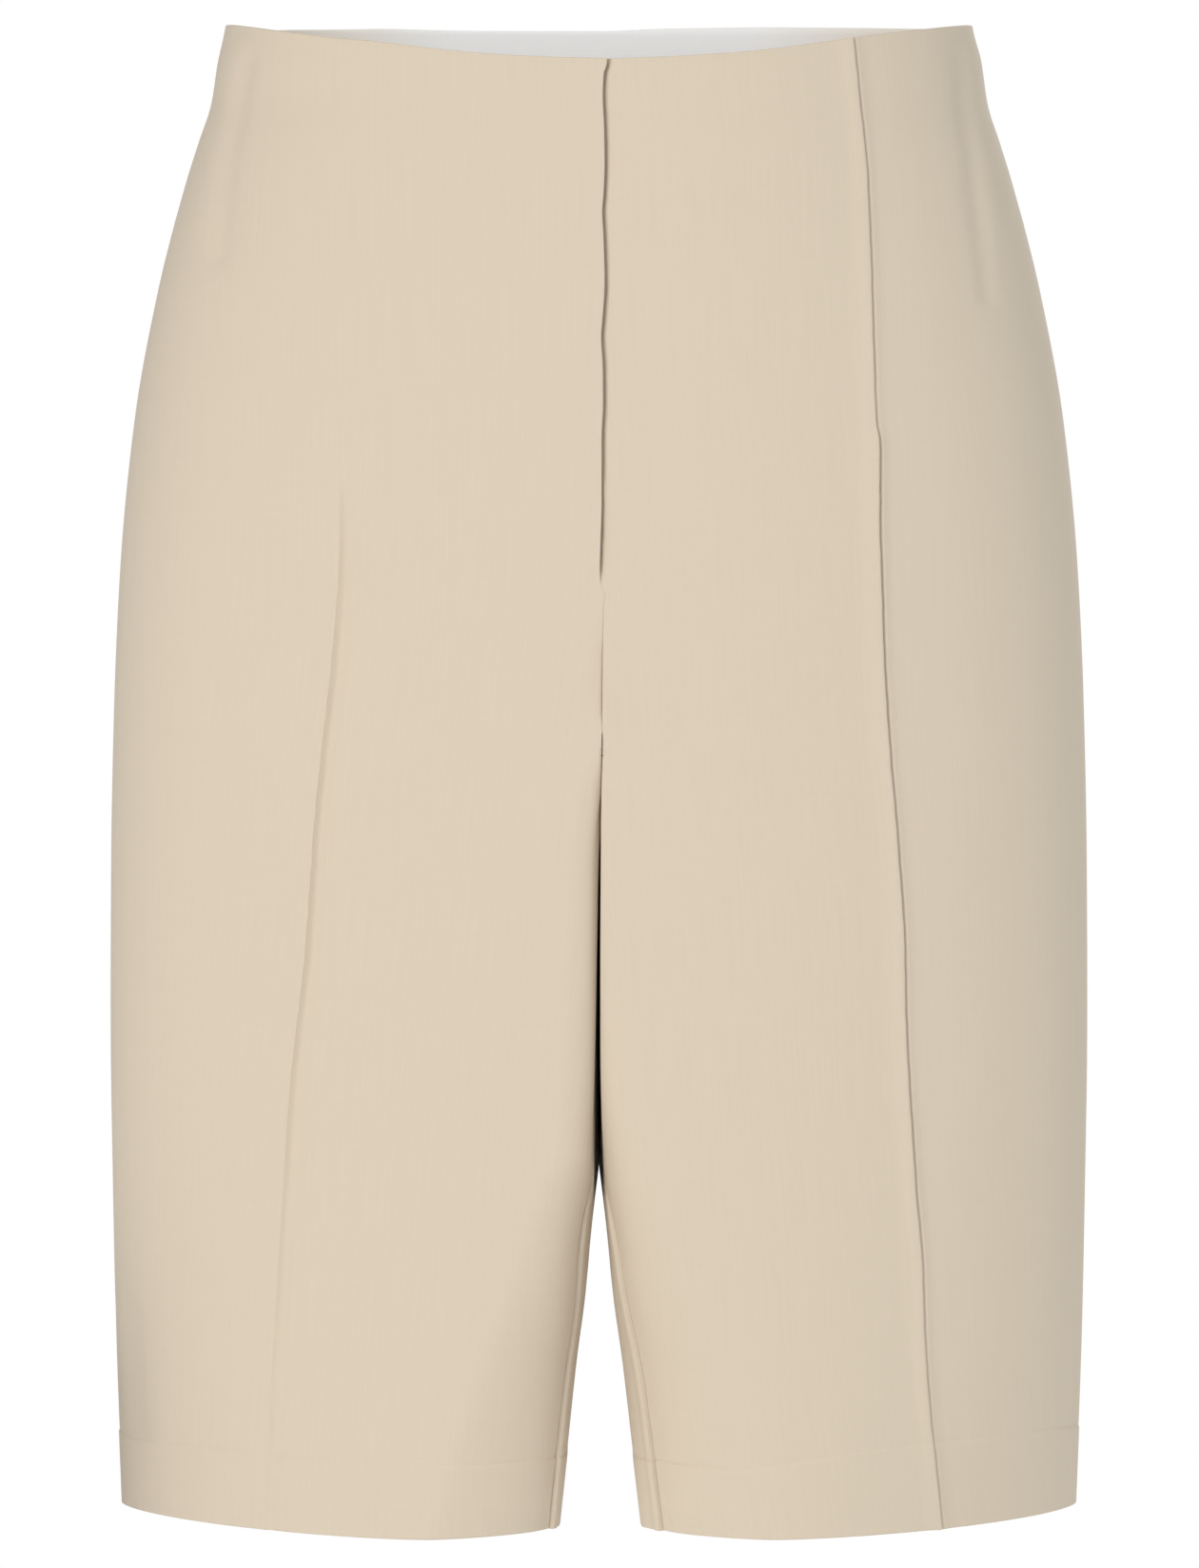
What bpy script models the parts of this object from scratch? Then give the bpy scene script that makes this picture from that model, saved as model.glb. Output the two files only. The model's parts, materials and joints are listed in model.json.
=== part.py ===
"""Tailored bermuda shorts in their worn, hollow shape: cut panels, tucks, hems, back facing and fly.

Run with: blender --background --python part.py
Sizes are in millimetres until a mesh is made, which is in metres.
The origin is the middle of the waist opening. +X is the wearer's left, the front faces -Y and +Z is up.
A "drop" is a distance down from the waist's side points, so z = -drop.
"""

import math

import bpy
import numpy as np

TO_METRES = 0.001

# Driving sizes.
WALL = 1.2  # suiting with its pressed seams
FACING_WALL = 1.0
SEAM_GAP = 0.3  # between pieces that are sewn together
OUTSEAM = 567.5
HEM_DEPTH = 30.0
FACING_DEPTH = 30.0
WAIST_DIP = 15.3  # how far the front waist edge sinks at the centre
WAIST_RISE = 1.2  # how far the back waist edge climbs at the centre
DIP_POWER = 1.6  # how the dip spreads from the centre to the sides
RISE_POWER = 3.0
DIP_FADES_BY = 100.0
CROTCH_DROP = 283.0
CROTCH_Y = -55.0
FRONT_RISE_END = 235.0  # where the front seam starts to turn under, between the legs
BACK_RISE_END = 200.0
BACK_CORNER = 2.1  # the power of the corner's ellipse behind each leg

# The worn body's sections. half_width runs from the middle to the side seam, front and back from the
# side seam's plane to the fullest point. A power of 2 is an ellipse, more is squarer and less is flatter.
BODY_COLUMNS = ("drop", "half_width", "front", "back", "front_power", "back_power")
BODY = (
    (0.0, 142.1, 95.0, 90.0, 2.3, 2.2),
    (15.0, 145.0, 96.5, 93.0, 2.3, 2.2),
    (FACING_DEPTH, 147.4, 98.0, 97.0, 2.3, 2.2),
    (44.0, 152.2, 100.0, 101.5, 2.3, 2.2),
    (60.0, 157.4, 102.0, 107.0, 2.3, 2.2),
    (100.0, 168.0, 107.0, 120.0, 2.3, 2.2),
    (150.0, 177.3, 110.5, 133.0, 2.3, 2.2),
    (205.0, 182.9, 112.0, 139.0, 2.3, 2.2),
    (260.0, 185.6, 110.5, 135.0, 2.25, 2.2),
    (320.0, 187.0, 107.0, 125.0, 2.2, 2.15),
    (390.0, 187.5, 102.5, 114.5, 2.1, 2.1),
    (440.0, 187.0, 99.5, 109.0, 1.95, 2.1),
    (500.0, 186.0, 96.0, 104.0, 1.75, 2.05),
    (OUTSEAM, 183.8, 92.5, 99.0, 1.5, 2.0),
)

# The inner side of each leg. gap runs from the middle to the leg's inner wall. A corner turns from the
# front or back into that wall: wide is its size across and deep its size from front to back, and
# front_corner is the front one's power.
LEG_COLUMNS = ("drop", "gap", "front_wide", "front_deep", "front_corner", "back_wide", "back_deep")
LEG = (
    (200.0, 0.15, 0.0, 0.0, 2.1, 0.0, 0.0),
    (235.0, 0.15, 0.0, 0.0, 2.1, 4.0, 6.0),
    (250.0, 0.15, 2.0, 3.0, 2.1, 7.5, 11.5),
    (270.0, 0.15, 4.5, 7.0, 2.1, 13.0, 20.0),
    (285.0, 0.15, 6.0, 9.0, 2.1, 18.0, 27.0),
    (320.0, 0.15, 8.0, 13.0, 2.1, 28.0, 40.0),
    (350.0, 0.15, 10.0, 16.0, 2.1, 37.0, 49.0),
    (390.0, 0.15, 14.0, 22.0, 2.1, 47.0, 58.0),
    (440.0, 0.15, 24.0, 30.0, 2.0, 57.0, 65.0),
    (500.0, 7.2, 38.0, 36.0, 1.7, 66.0, 69.0),
    (OUTSEAM, 14.7, 49.0, 33.0, 1.45, 72.0, 68.0),
)

# The inseam's place on each leg's inner side, from front to back.
INSEAM_COLUMNS = ("drop", "right", "left")
INSEAM = (
    (CROTCH_DROP, CROTCH_Y, CROTCH_Y),
    (370.0, -76.0, -74.0),
    (440.0, -82.5, -80.0),
    (500.0, -71.0, -76.0),
    (OUTSEAM, -66.0, -71.0),
)

# The stitched tuck down each front: how far from the middle its free edge lies, which points outwards.
TUCK_COLUMNS = ("drop", "right", "left")
TUCK = (
    (0.0, 93.0, 95.5),
    (60.0, 94.0, 100.4),
    (130.0, 95.0, 102.7),
    (220.0, 97.2, 105.5),
    (300.0, 104.5, 110.6),
    (380.0, 112.0, 114.6),
    (450.0, 117.8, 118.9),
    (510.0, 121.2, 123.0),
    (OUTSEAM, 123.0, 128.3),
)
TUCK_WIDE = 2.4
TUCK_THICK = 1.0
TUCK_CLEAR = 0.4

# The fly: the right front laps over the left one, and the guard, the zip and the hook and bar lie behind.
FLY_END = 206.0
FLY_CLOSED = 211.0  # below the lap's corner, where the seam takes over
LAP_FADED = 222.0
LAP_OVER = 1.65  # the right front past the middle
LAP_UNDER = 8.15  # the left front past the middle, beneath
LAP_LIFT = WALL + SEAM_GAP
LAP_RAMP = (-26.0, -9.0)  # x over which the right front climbs to its lift
GUARD_X = (12.0, 7.0, -1.0, -9.0, -25.0, -42.0)
GUARD_DEPTH = (1.5, 1.5, 3.2, 4.6, 4.6, 4.6)
ON_GUARD = 4.6 - SEAM_GAP
ZIP_X = (-19.0, -10.0)
ZIP_THICK = 1.3
ZIP_TOP = 31.5
ZIP_ROW_STEP = 10.0  # the least height of the zip's first row
SLIDER_TOP = 24.0
SLIDER_THICK = 2.7
HOOK_X = (-39.0, -28.0)
HOOK_DROPS = (6.0, 14.0)
HOOK_THICK = 1.2

# The panels' meshes: drops of the rows, and how many columns each stretch of a section gets.
ROWS = (0, 15, FACING_DEPTH, 48, 72, 100, 135, 170, FLY_END, FLY_CLOSED, LAP_FADED, FRONT_RISE_END)
ROWS += (250, 263, 273, 280, CROTCH_DROP, 305, 335, 370, 405, 442, 490, OUTSEAM - HEM_DEPTH, OUTSEAM)
COLUMNS = {"front": (10, 6, 2), "back": (10, 5, 5)}  # outer side, corner, inner wall
LAP_COLUMNS_RUN = (10.65, 17.0)  # what the wall's and the corner's columns cover beside the lap
RISE_COLUMNS_RUN = (1.5, 8.0)  # and the least they cover below it
RISE_COLUMNS_FROM = 250.0
ARC_STEPS = 48
EDGE_STEP = 0.3  # half the length over which a section's direction is read
SHARP_ANGLE = 40.0  # edges over this many degrees are shaded sharp
TOWARD = {"front": -1, "back": 1}

# Linear colour, roughness.
SUITING = ((0.70, 0.59, 0.45, 1.0), 0.85)
LINING = ((0.80, 0.80, 0.80, 1.0), 0.6)
NICKEL = ((0.55, 0.54, 0.52, 1.0), 0.3)


def curve(columns, table, name):
    """One column of a table as a smooth function of the drop, which never swings past its rows."""
    rows = np.array(table)
    drops, values = rows[:, 0], rows[:, columns.index(name)]
    slopes = np.diff(values) / np.diff(drops)
    turns = slopes[:-1] * slopes[1:] > 0
    blend = np.where(turns, slopes[:-1] + slopes[1:], 1.0)
    inner = np.where(turns, 2 * slopes[:-1] * slopes[1:] / blend, 0.0)
    tangents = np.concatenate([slopes[:1], inner, slopes[-1:]])

    def at(drop):
        drop = min(max(drop, drops[0]), drops[-1])
        i = min(int(np.searchsorted(drops, drop, side="right")) - 1, len(slopes) - 1)
        step = drops[i + 1] - drops[i]
        t = (drop - drops[i]) / step
        start = (1 + 2 * t) * (1 - t) ** 2 * values[i] + t * (1 - t) ** 2 * step * tangents[i]
        end = t * t * (3 - 2 * t) * values[i + 1] + t * t * (t - 1) * step * tangents[i + 1]
        return start + end

    return at


BODY_AT = {name: curve(BODY_COLUMNS, BODY, name) for name in BODY_COLUMNS[1:]}
LEG_AT = {name: curve(LEG_COLUMNS, LEG, name) for name in LEG_COLUMNS[1:]}
INSEAM_AT = {name: curve(INSEAM_COLUMNS, INSEAM, name) for name in INSEAM_COLUMNS[1:]}
TUCK_AT = {name: curve(TUCK_COLUMNS, TUCK, name) for name in TUCK_COLUMNS[1:]}


def ease(share):
    """0 to 1 with level ends."""
    share = np.clip(share, 0.0, 1.0)
    return share * share * (3 - 2 * share)


def quarter(power):
    """A quarter of a superellipse of size 1, from (1, 0) to (0, 1)."""
    angle = np.linspace(0, math.pi / 2, ARC_STEPS)
    return np.cos(angle).clip(0) ** (2 / power), np.sin(angle) ** (2 / power)


def half_line(drop, panel):
    """One half's section from the side seam, past the panel's fullest point and on round the inner side.

    Returns its points and the numbers of the points where the corner starts and ends. Above the crotch
    the inner side is the middle plane, which the panels leave open.
    """
    half, gap = BODY_AT["half_width"](drop), LEG_AT["gap"](drop)
    across, along = quarter(BODY_AT[f"{panel}_power"](drop))

    def corner(which):
        toward, full = TOWARD[which], BODY_AT[which](drop)
        in_x, in_y = quarter(LEG_AT["front_corner"](drop) if which == "front" else BACK_CORNER)
        wide, deep = LEG_AT[f"{which}_wide"](drop), LEG_AT[f"{which}_deep"](drop)
        return np.column_stack([gap + wide * (1 - in_y), toward * (full - deep * (1 - in_x))])

    near, far = corner(panel), corner("back" if panel == "front" else "front")
    turn_x, turn_y = near[0]
    outer = np.column_stack([turn_x + (half - turn_x) * across, turn_y * along])
    return np.concatenate([outer, near, far[::-1]]), ARC_STEPS, 2 * ARC_STEPS - 1


def seam_y(drop, panel, side):
    """How far from the front or back the panel's inner edge lies: the rise seam, then the inseam."""
    sign = TOWARD[panel]
    start = FRONT_RISE_END if panel == "front" else BACK_RISE_END
    fullest = sign * BODY_AT[panel](drop)
    if drop <= start:
        return fullest
    if drop < CROTCH_DROP:
        reach = sign * BODY_AT[panel](start) - CROTCH_Y
        share = (drop - start) / (CROTCH_DROP - start)
        return CROTCH_Y + reach * math.sqrt(1 - share * share)
    return INSEAM_AT[side](drop) + sign * SEAM_GAP / 2


def lap(drop, panel, side):
    """How far the panel runs past the middle at the fly."""
    if panel == "back" or drop >= FLY_CLOSED:
        return 0.0
    full = LAP_OVER if side == "right" else LAP_UNDER
    return full * min(1.0, (FLY_CLOSED - drop) / (FLY_CLOSED - FLY_END))


def lengths_along(line):
    """The distance from the line's start to each of its points."""
    return np.concatenate([[0.0], np.cumsum(np.linalg.norm(np.diff(line, axis=0), axis=1))])


def section(drop, panel, side):
    """The panel's line at a drop, in the +X half, side seam first: columns of x, y and outward normal."""
    line, turn, corner_end = half_line(drop, panel)
    run = lengths_along(line)
    height = TOWARD[panel] * line[turn:, 1]
    inner_edge = np.interp(-TOWARD[panel] * seam_y(drop, panel, side), -height, run[turn:])
    edge = [np.interp(inner_edge, run, values) for values in line.T]
    turned, cornered = run[turn], min(run[corner_end], inner_edge)
    line = np.vstack([line[run < inner_edge - EDGE_STEP], edge])
    line = np.vstack([line, line[-1] - (lap(drop, panel, side), 0)])
    run = lengths_along(line)
    below = ease((drop - LAP_FADED) / (RISE_COLUMNS_FROM - LAP_FADED))
    least = [a + (b - a) * below for a, b in zip(LAP_COLUMNS_RUN, RISE_COLUMNS_RUN)]
    wall = math.hypot(run[-1] - cornered, least[0])
    bend = math.hypot(cornered - turned, least[1])
    breaks = [SEAM_GAP / 2, run[-1] - wall - bend, run[-1] - wall, run[-1]]
    spans = [np.linspace(a, b, n, endpoint=False) for a, b, n in zip(breaks, breaks[1:], COLUMNS[panel])]
    stops = np.concatenate([*spans, breaks[-1:]])

    def at(runs):
        return np.column_stack([np.interp(runs, run, values) for values in line.T])

    tangent = at(np.minimum(stops + EDGE_STEP, run[-1])) - at(np.maximum(stops - EDGE_STEP, 0))
    tangent /= np.linalg.norm(tangent, axis=1)[:, None]
    normals = TOWARD[panel] * np.column_stack([tangent[:, 1], -tangent[:, 0]])
    return np.hstack([at(stops), normals])


def waist_shift(drop, x, panel):
    """How far the waist edge's curve moves a point down. It is full at the top and fades below."""
    share = min(1.0, abs(x) / BODY_AT["half_width"](drop))
    full = WAIST_DIP * (1 - share**DIP_POWER) if panel == "front" else -WAIST_RISE * (1 - share**RISE_POWER)
    return full * max(0.0, 1 - drop / DIP_FADES_BY) ** 2


def lift(x, drop):
    """How far the right front climbs over the left one beside the fly."""
    rise = ease((x - LAP_RAMP[0]) / (LAP_RAMP[1] - LAP_RAMP[0]))
    return LAP_LIFT * rise * ease((LAP_FADED - drop) / (LAP_FADED - FLY_CLOSED))


def panel_grids(panel, side):
    """The panel's outer and inner points: rows from waist to hem, columns from side seam to middle."""
    sign = -1 if side == "right" else 1
    outer, normals = [], []
    for drop in ROWS:
        level = section(drop, panel, side)
        for column, (x, *_) in enumerate(level.copy()):
            shift = waist_shift(drop, x, panel)
            if shift:
                level[column] = section(max(drop + shift, 0.0), panel, side)[column]
            x, y, nx, ny = level[column]
            normal = np.array([sign * nx, ny, 0.0])
            point = np.array([sign * x, y, -(drop + shift)])
            if panel == "front" and side == "right":
                point += normal * lift(point[0], drop)
            outer.append(point)
            normals.append(normal)
    shape = (len(ROWS), -1, 3)
    outer, normals = np.reshape(outer, shape), np.reshape(normals, shape)
    return outer, outer - WALL * normals, normals


def grid_faces(rows, columns, first=0, closed=False, turned_from=None):
    """The triangles of a grid of points, row by row.

    Spans from turned_from on are split on the other diagonal. A piece made from a panel's points is split
    as the panel is, so that their flat facets stay parallel.
    """
    for row in range(rows - 1):
        for column in range(columns if closed else columns - 1):
            here = first + row * columns
            a, b = here + column, here + (column + 1) % columns
            c, d = b + columns, a + columns
            if turned_from is None or column < turned_from:
                yield from ((a, b, c), (a, c, d))
            else:
                yield from ((a, b, d), (b, c, d))


def wall_faces(rows, columns, closed=False, turned_from=None):
    """The faces of a wall between two grids of the same size: both sides and the edges round them."""
    count = rows * columns
    faces = list(grid_faces(rows, columns, 0, closed, turned_from))
    faces += [face[::-1] for face in grid_faces(rows, columns, count, closed, turned_from)]
    top = list(range(columns))
    bottom = [(rows - 1) * columns + column for column in range(columns)]
    if closed:
        edges = [top + top[:1], (bottom + bottom[:1])[::-1]]
    else:
        first = [row * columns for row in range(rows)]
        last = [row * columns + columns - 1 for row in range(rows)]
        edges = [top + last[1:] + bottom[-2::-1] + first[-2::-1]]
    for edge in edges:
        for a, b in zip(edge, edge[1:]):
            faces += [(b, a, a + count), (b, a + count, b + count)]
    return faces


def material(name, look, metallic=0.0):
    made = bpy.data.materials.new(name)
    made.use_nodes = True
    shader = made.node_tree.nodes["Principled BSDF"]
    shader.inputs["Base Color"].default_value = look[0]
    shader.inputs["Roughness"].default_value = look[1]
    shader.inputs["Metallic"].default_value = metallic
    return made


def add_wall(name, outer, inner, finish, closed=False, turned_from=None):
    """One closed solid between two grids of points, with its faces out."""
    rows, columns = outer.shape[:2]
    points = np.concatenate([outer.reshape(-1, 3), inner.reshape(-1, 3)])
    faces = wall_faces(rows, columns, closed, turned_from)
    if np.linalg.det(points[faces]).sum() < 0:
        faces = [face[::-1] for face in faces]
    mesh = bpy.data.meshes.new(name)
    mesh.from_pydata((points * TO_METRES).tolist(), [], faces)
    mesh.materials.append(finish)
    mesh.shade_smooth()
    mesh.set_sharp_from_angle(angle=math.radians(SHARP_ANGLE))
    made = bpy.data.objects.new(name, mesh)
    bpy.context.scene.collection.objects.link(made)
    return made


def add_tuck(side, grids, finish):
    """The tuck's lip: a narrow strip inwards from its free edge, clear of the front it lies on."""
    outer, _, normals = grids
    sign = -1 if side == "right" else 1
    skin = []
    for points, facing in zip(outer, normals):
        across = sign * points[::-1, 0]
        edge_x = TUCK_AT[side](-points[0, 2])
        for x in (edge_x - TUCK_WIDE, edge_x):
            at = [np.interp(x, across, points[::-1, axis]) for axis in range(3)]
            out = [np.interp(x, across, facing[::-1, axis]) for axis in range(3)]
            skin.append((at, out))
    base = np.reshape([at for at, _ in skin], (len(ROWS), 2, 3))
    out = np.reshape([out for _, out in skin], (len(ROWS), 2, 3))
    add_wall(f"tuck_{side}", base + (TUCK_CLEAR + TUCK_THICK) * out, base + TUCK_CLEAR * out, finish)


def add_hem(side, front, back, finish):
    """The hem's turned-up allowance: a ring inside the leg's foot."""
    rows = slice(ROWS.index(OUTSEAM - HEM_DEPTH), None)
    around = np.concatenate([front[1][rows], back[1][rows, ::-1]], axis=1)
    facing = np.concatenate([front[2][rows], back[2][rows, ::-1]], axis=1)
    add_wall(
        f"hem_{side}",
        around - SEAM_GAP * facing,
        around - (SEAM_GAP + FACING_WALL) * facing,
        finish,
        closed=True,
        turned_from=front[0].shape[1] - 1,
    )


def add_back_facing(right, left, finish):
    """The facing inside the back waist, from side seam to side seam."""
    rows = slice(0, ROWS.index(FACING_DEPTH) + 1)
    across = np.concatenate([right[1][rows], left[1][rows, ::-1]], axis=1)
    facing = np.concatenate([right[2][rows], left[2][rows, ::-1]], axis=1)
    add_wall(
        "back_facing",
        across - SEAM_GAP * facing,
        across - (SEAM_GAP + FACING_WALL) * facing,
        finish,
        turned_from=right[0].shape[1] - 1,
    )


def behind_front(xs, depths, drops, left_outer):
    """Points behind the fronts, depths in from the left front's skin, which the right side mirrors."""
    levels = -left_outer[:, -1, 2]
    grid = []
    for drop in drops:
        for x, depth in zip(xs, depths):
            line = [np.interp(abs(x), row[::-1, 0], row[::-1, 1]) for row in left_outer]
            grid.append((x, np.interp(drop, levels, line) + depth, -drop))
    return np.reshape(grid, (len(drops), len(xs), 3))


def add_behind(name, xs, depths, thick, drops, left_outer, finish):
    """A strip behind the fronts. depths are those of the face that looks forward."""
    fore = behind_front(xs, depths, drops, left_outer)
    aft = behind_front(xs, [depth + thick for depth in depths], drops, left_outer)
    add_wall(name, fore, aft, finish)


def add_fly(left_outer, suiting, nickel):
    """The guard, the zip with its slider, and the hook and bar, all behind the lap."""
    levels = [-z for z in left_outer[: ROWS.index(FLY_END) + 1, -1, 2]]
    add_behind("fly_guard", GUARD_X, GUARD_DEPTH, FACING_WALL, levels, left_outer, suiting)
    zip_levels = [ZIP_TOP] + [level for level in levels if level > ZIP_TOP + ZIP_ROW_STEP]
    zip_depth = ON_GUARD - ZIP_THICK
    add_behind("fly_zip", ZIP_X, (zip_depth,) * 2, ZIP_THICK, zip_levels, left_outer, nickel)
    slider_levels = (SLIDER_TOP, ZIP_TOP - SEAM_GAP)
    slider_depth = ON_GUARD - SLIDER_THICK
    add_behind("zip_slider", ZIP_X, (slider_depth,) * 2, SLIDER_THICK, slider_levels, left_outer, nickel)
    plate_levels = [WAIST_DIP + drop for drop in HOOK_DROPS]
    hook_depth = WALL + SEAM_GAP
    add_behind("waist_hook", HOOK_X, (hook_depth,) * 2, HOOK_THICK, plate_levels, left_outer, nickel)
    bar_depth = ON_GUARD - HOOK_THICK
    add_behind("waist_bar", HOOK_X, (bar_depth,) * 2, HOOK_THICK, plate_levels, left_outer, nickel)


def main():
    for old in list(bpy.data.objects):
        bpy.data.objects.remove(old, do_unlink=True)
    suiting = material("beige_suiting", SUITING)
    lining = material("pale_facing", LINING)
    nickel = material("nickel", NICKEL, metallic=1.0)
    grids = {}
    for side in ("right", "left"):
        for panel in ("front", "back"):
            grids[panel, side] = panel_grids(panel, side)
            outer, inner, _ = grids[panel, side]
            add_wall(f"{panel}_{side}", outer, inner, suiting)
        add_tuck(side, grids["front", side], suiting)
        add_hem(side, grids["front", side], grids["back", side], suiting)
    add_back_facing(grids["back", "right"], grids["back", "left"], lining)
    add_fly(grids["front", "left"][0], suiting, nickel)


main()
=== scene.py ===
# %% [markdown]
# Tailored bermuda shorts. On the real garment four cut panels are sewn into a tube for the body and a tube
# for each leg. The front edges of both fronts are faced, so there is no waistband, and a fly with a hidden
# zip closes the front. A stitched tuck runs down each front like a sharp crease.
# The hard frame comes first: it fixes where every piece lies. All sizes below are in millimetres, and one
# factor turns them into metres when a mesh is made.

# %% Load the frame
import json
import math

import bpy
import numpy as np
from mathutils import Matrix, Vector

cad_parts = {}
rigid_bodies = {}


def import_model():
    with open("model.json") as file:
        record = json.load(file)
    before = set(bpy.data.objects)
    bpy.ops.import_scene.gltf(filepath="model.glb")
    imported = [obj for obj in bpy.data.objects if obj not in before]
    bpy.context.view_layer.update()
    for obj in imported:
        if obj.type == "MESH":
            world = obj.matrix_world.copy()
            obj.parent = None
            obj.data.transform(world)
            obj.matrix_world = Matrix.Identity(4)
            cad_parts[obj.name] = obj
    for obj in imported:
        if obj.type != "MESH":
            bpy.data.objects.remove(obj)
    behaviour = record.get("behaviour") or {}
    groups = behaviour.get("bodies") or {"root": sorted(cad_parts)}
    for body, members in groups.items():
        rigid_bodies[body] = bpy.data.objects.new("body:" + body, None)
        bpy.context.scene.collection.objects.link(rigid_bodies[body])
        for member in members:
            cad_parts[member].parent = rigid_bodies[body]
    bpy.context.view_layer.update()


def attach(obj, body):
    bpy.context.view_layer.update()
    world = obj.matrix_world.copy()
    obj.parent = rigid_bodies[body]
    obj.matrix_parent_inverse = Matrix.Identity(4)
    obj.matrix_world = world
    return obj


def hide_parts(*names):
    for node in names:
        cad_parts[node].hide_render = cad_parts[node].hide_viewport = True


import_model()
MM = 0.001

# %% [markdown]
# A garment hangs in front of a long lens, which keeps its sides straight. The camera stands three metres
# away, a little above the middle of the garment, and looks slightly down.

# %% Camera
LENS_SENSOR = 36.0
VIEW_DISTANCE = 3000.0
VIEW_HEIGHT = 601.5  # what the picture's long side covers at that distance
VIEW_TILT = 3.5  # degrees down
AIM = (0.2, 0.0, -289.8)
FAR_END = 50.0  # metres


def add_object(name, data):
    """An object in the scene."""
    made = bpy.data.objects.new(name, data)
    bpy.context.scene.collection.objects.link(made)
    return made


tilt = math.radians(VIEW_TILT)
camera = add_object("camera", bpy.data.cameras.new("camera"))
camera.data.sensor_width = LENS_SENSOR
camera.data.lens = LENS_SENSOR * VIEW_DISTANCE / VIEW_HEIGHT
away = (0.0, -VIEW_DISTANCE * math.cos(tilt), VIEW_DISTANCE * math.sin(tilt))
camera.location = [(aim + step) * MM for aim, step in zip(AIM, away)]
camera.rotation_euler = (math.pi / 2 - tilt, 0, 0)
camera.data.clip_end = FAR_END
bpy.context.scene.camera = camera
print("lens:", round(camera.data.lens, 1), "mm")

# %% [markdown]
# Colours are chosen as sRGB hex values, as a cloth swatch would be read off a screen. Blender works in
# linear light, so one function turns them over. Another one adds a shader node with its settings and its
# links, so that each material below reads as a short list.

# %% Colour and node helpers
def linear(hex_colour):
    """An sRGB hex colour as linear RGBA."""
    values = [int(hex_colour[i : i + 2], 16) / 255 for i in (0, 2, 4)]
    return [v / 12.92 if v <= 0.04045 else ((v + 0.055) / 1.055) ** 2.4 for v in values] + [1.0]


def node(tree, kind, settings=None, **inputs):
    """Adds a node. Inputs go by name, with _ for a space, or by number, such as i0.

    Each one is a value, a hex colour, or another node's output socket, which is linked.
    """
    made = tree.nodes.new(kind)
    for name, value in (settings or {}).items():
        setattr(made, name, value)
    for name, value in inputs.items():
        socket = made.inputs[int(name[1:]) if name[1:].isdigit() else name.replace("_", " ")]
        if isinstance(value, bpy.types.NodeSocket):
            tree.links.new(value, socket)
        else:
            socket.default_value = linear(value) if isinstance(value, str) else value
    return made


def new_material(name):
    """An empty node material and the tree to build in."""
    material = bpy.data.materials.new(name)
    material.use_nodes = True
    material.node_tree.nodes.clear()
    return material, material.node_tree


def surface(tree, **inputs):
    """The material's shader with its inputs, linked to the output."""
    shader = node(tree, "ShaderNodeBsdfPrincipled", **inputs)
    node(tree, "ShaderNodeOutputMaterial", Surface=shader.outputs[0])


print("cloth beige in linear light:", [round(v, 3) for v in linear("d1c2ad")[:3]])

# %% [markdown]
# The studio is plain: a pale floor well below the hem, a white surround, a large soft light from the front
# left, a weaker one from the right and one from behind, so that no side is lost in the dark. The surround
# looks white to the camera, and lights the cloth with less than that, which leaves room for soft shadows.
# The floor only throws light back up: the camera looks past it into the white. A small card of black felt
# beside one hem takes light away there, and gives that lower edge its soft shade.

# %% Studio
FLOOR_DROP = 830.0
FLOOR_RADIUS = 1300.0  # all of it lies in the lights' bright patch
FLOOR_CORNERS = 96
SURROUND_LIGHT = 0.35
LIGHTS = (
    # name, place in mm, size in mm, power in watts, colour
    ("key_high", (-1300, -2400, 1000), 1300, 30.0, "fffefc"),
    ("key", (-1500, -2300, 200), 1300, 19.8, "fffefc"),
    ("low_right", (1300, -2400, -700), 1500, 8.6, "ffffff"),
    ("side_right", (2400, -900, 800), 1500, 26.5, "f8fffe"),
    ("side_left", (-2400, -900, 0), 1500, 7.1, "f8fffe"),
    ("back", (300, 2400, 900), 1800, 45.0, "ffffff"),
)
LIGHT_AIM = (0, 0, -290)
CARD = ((-236, -44, -625), (-236, 6, -625), (-236, 6, -500), (-236, -44, -500))

bpy.context.scene.view_settings.view_transform = "Standard"
world = bpy.data.worlds.new("surround")
bpy.context.scene.world = world
world.use_nodes = True
tree = world.node_tree
tree.nodes.clear()
seen = node(tree, "ShaderNodeBackground", Color="ffffff", Strength=1.0)
lighting = node(tree, "ShaderNodeBackground", Color="f4f7ff", Strength=SURROUND_LIGHT)
to_camera = node(tree, "ShaderNodeLightPath").outputs["Is Camera Ray"]
mixed = node(tree, "ShaderNodeMixShader", i0=to_camera, i1=lighting.outputs[0], i2=seen.outputs[0])
node(tree, "ShaderNodeOutputWorld", Surface=mixed.outputs[0])


def add_light(name, place, size, power, colour):
    """A square soft light that looks at the middle of the garment."""
    made = add_object(name, bpy.data.lights.new(name, "AREA"))
    made.data.shape = "SQUARE"
    made.data.size = size * MM
    made.data.energy = power
    made.data.color = linear(colour)[:3]
    made.location = Vector(place) * MM
    toward = Vector(LIGHT_AIM) * MM - made.location
    made.rotation_euler = toward.to_track_quat("-Z", "Y").to_euler()


def add_stage(name, corners, finish, colour, roughness):
    """A flat face that only changes the light: the camera does not see it."""
    material, tree = new_material(finish)
    surface(tree, Base_Color=colour, Roughness=roughness)
    mesh = bpy.data.meshes.new(name)
    mesh.from_pydata([[c * MM for c in corner] for corner in corners], [], [range(len(corners))])
    mesh.materials.append(material)
    made = add_object(name, mesh)
    made.visible_camera = False


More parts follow.
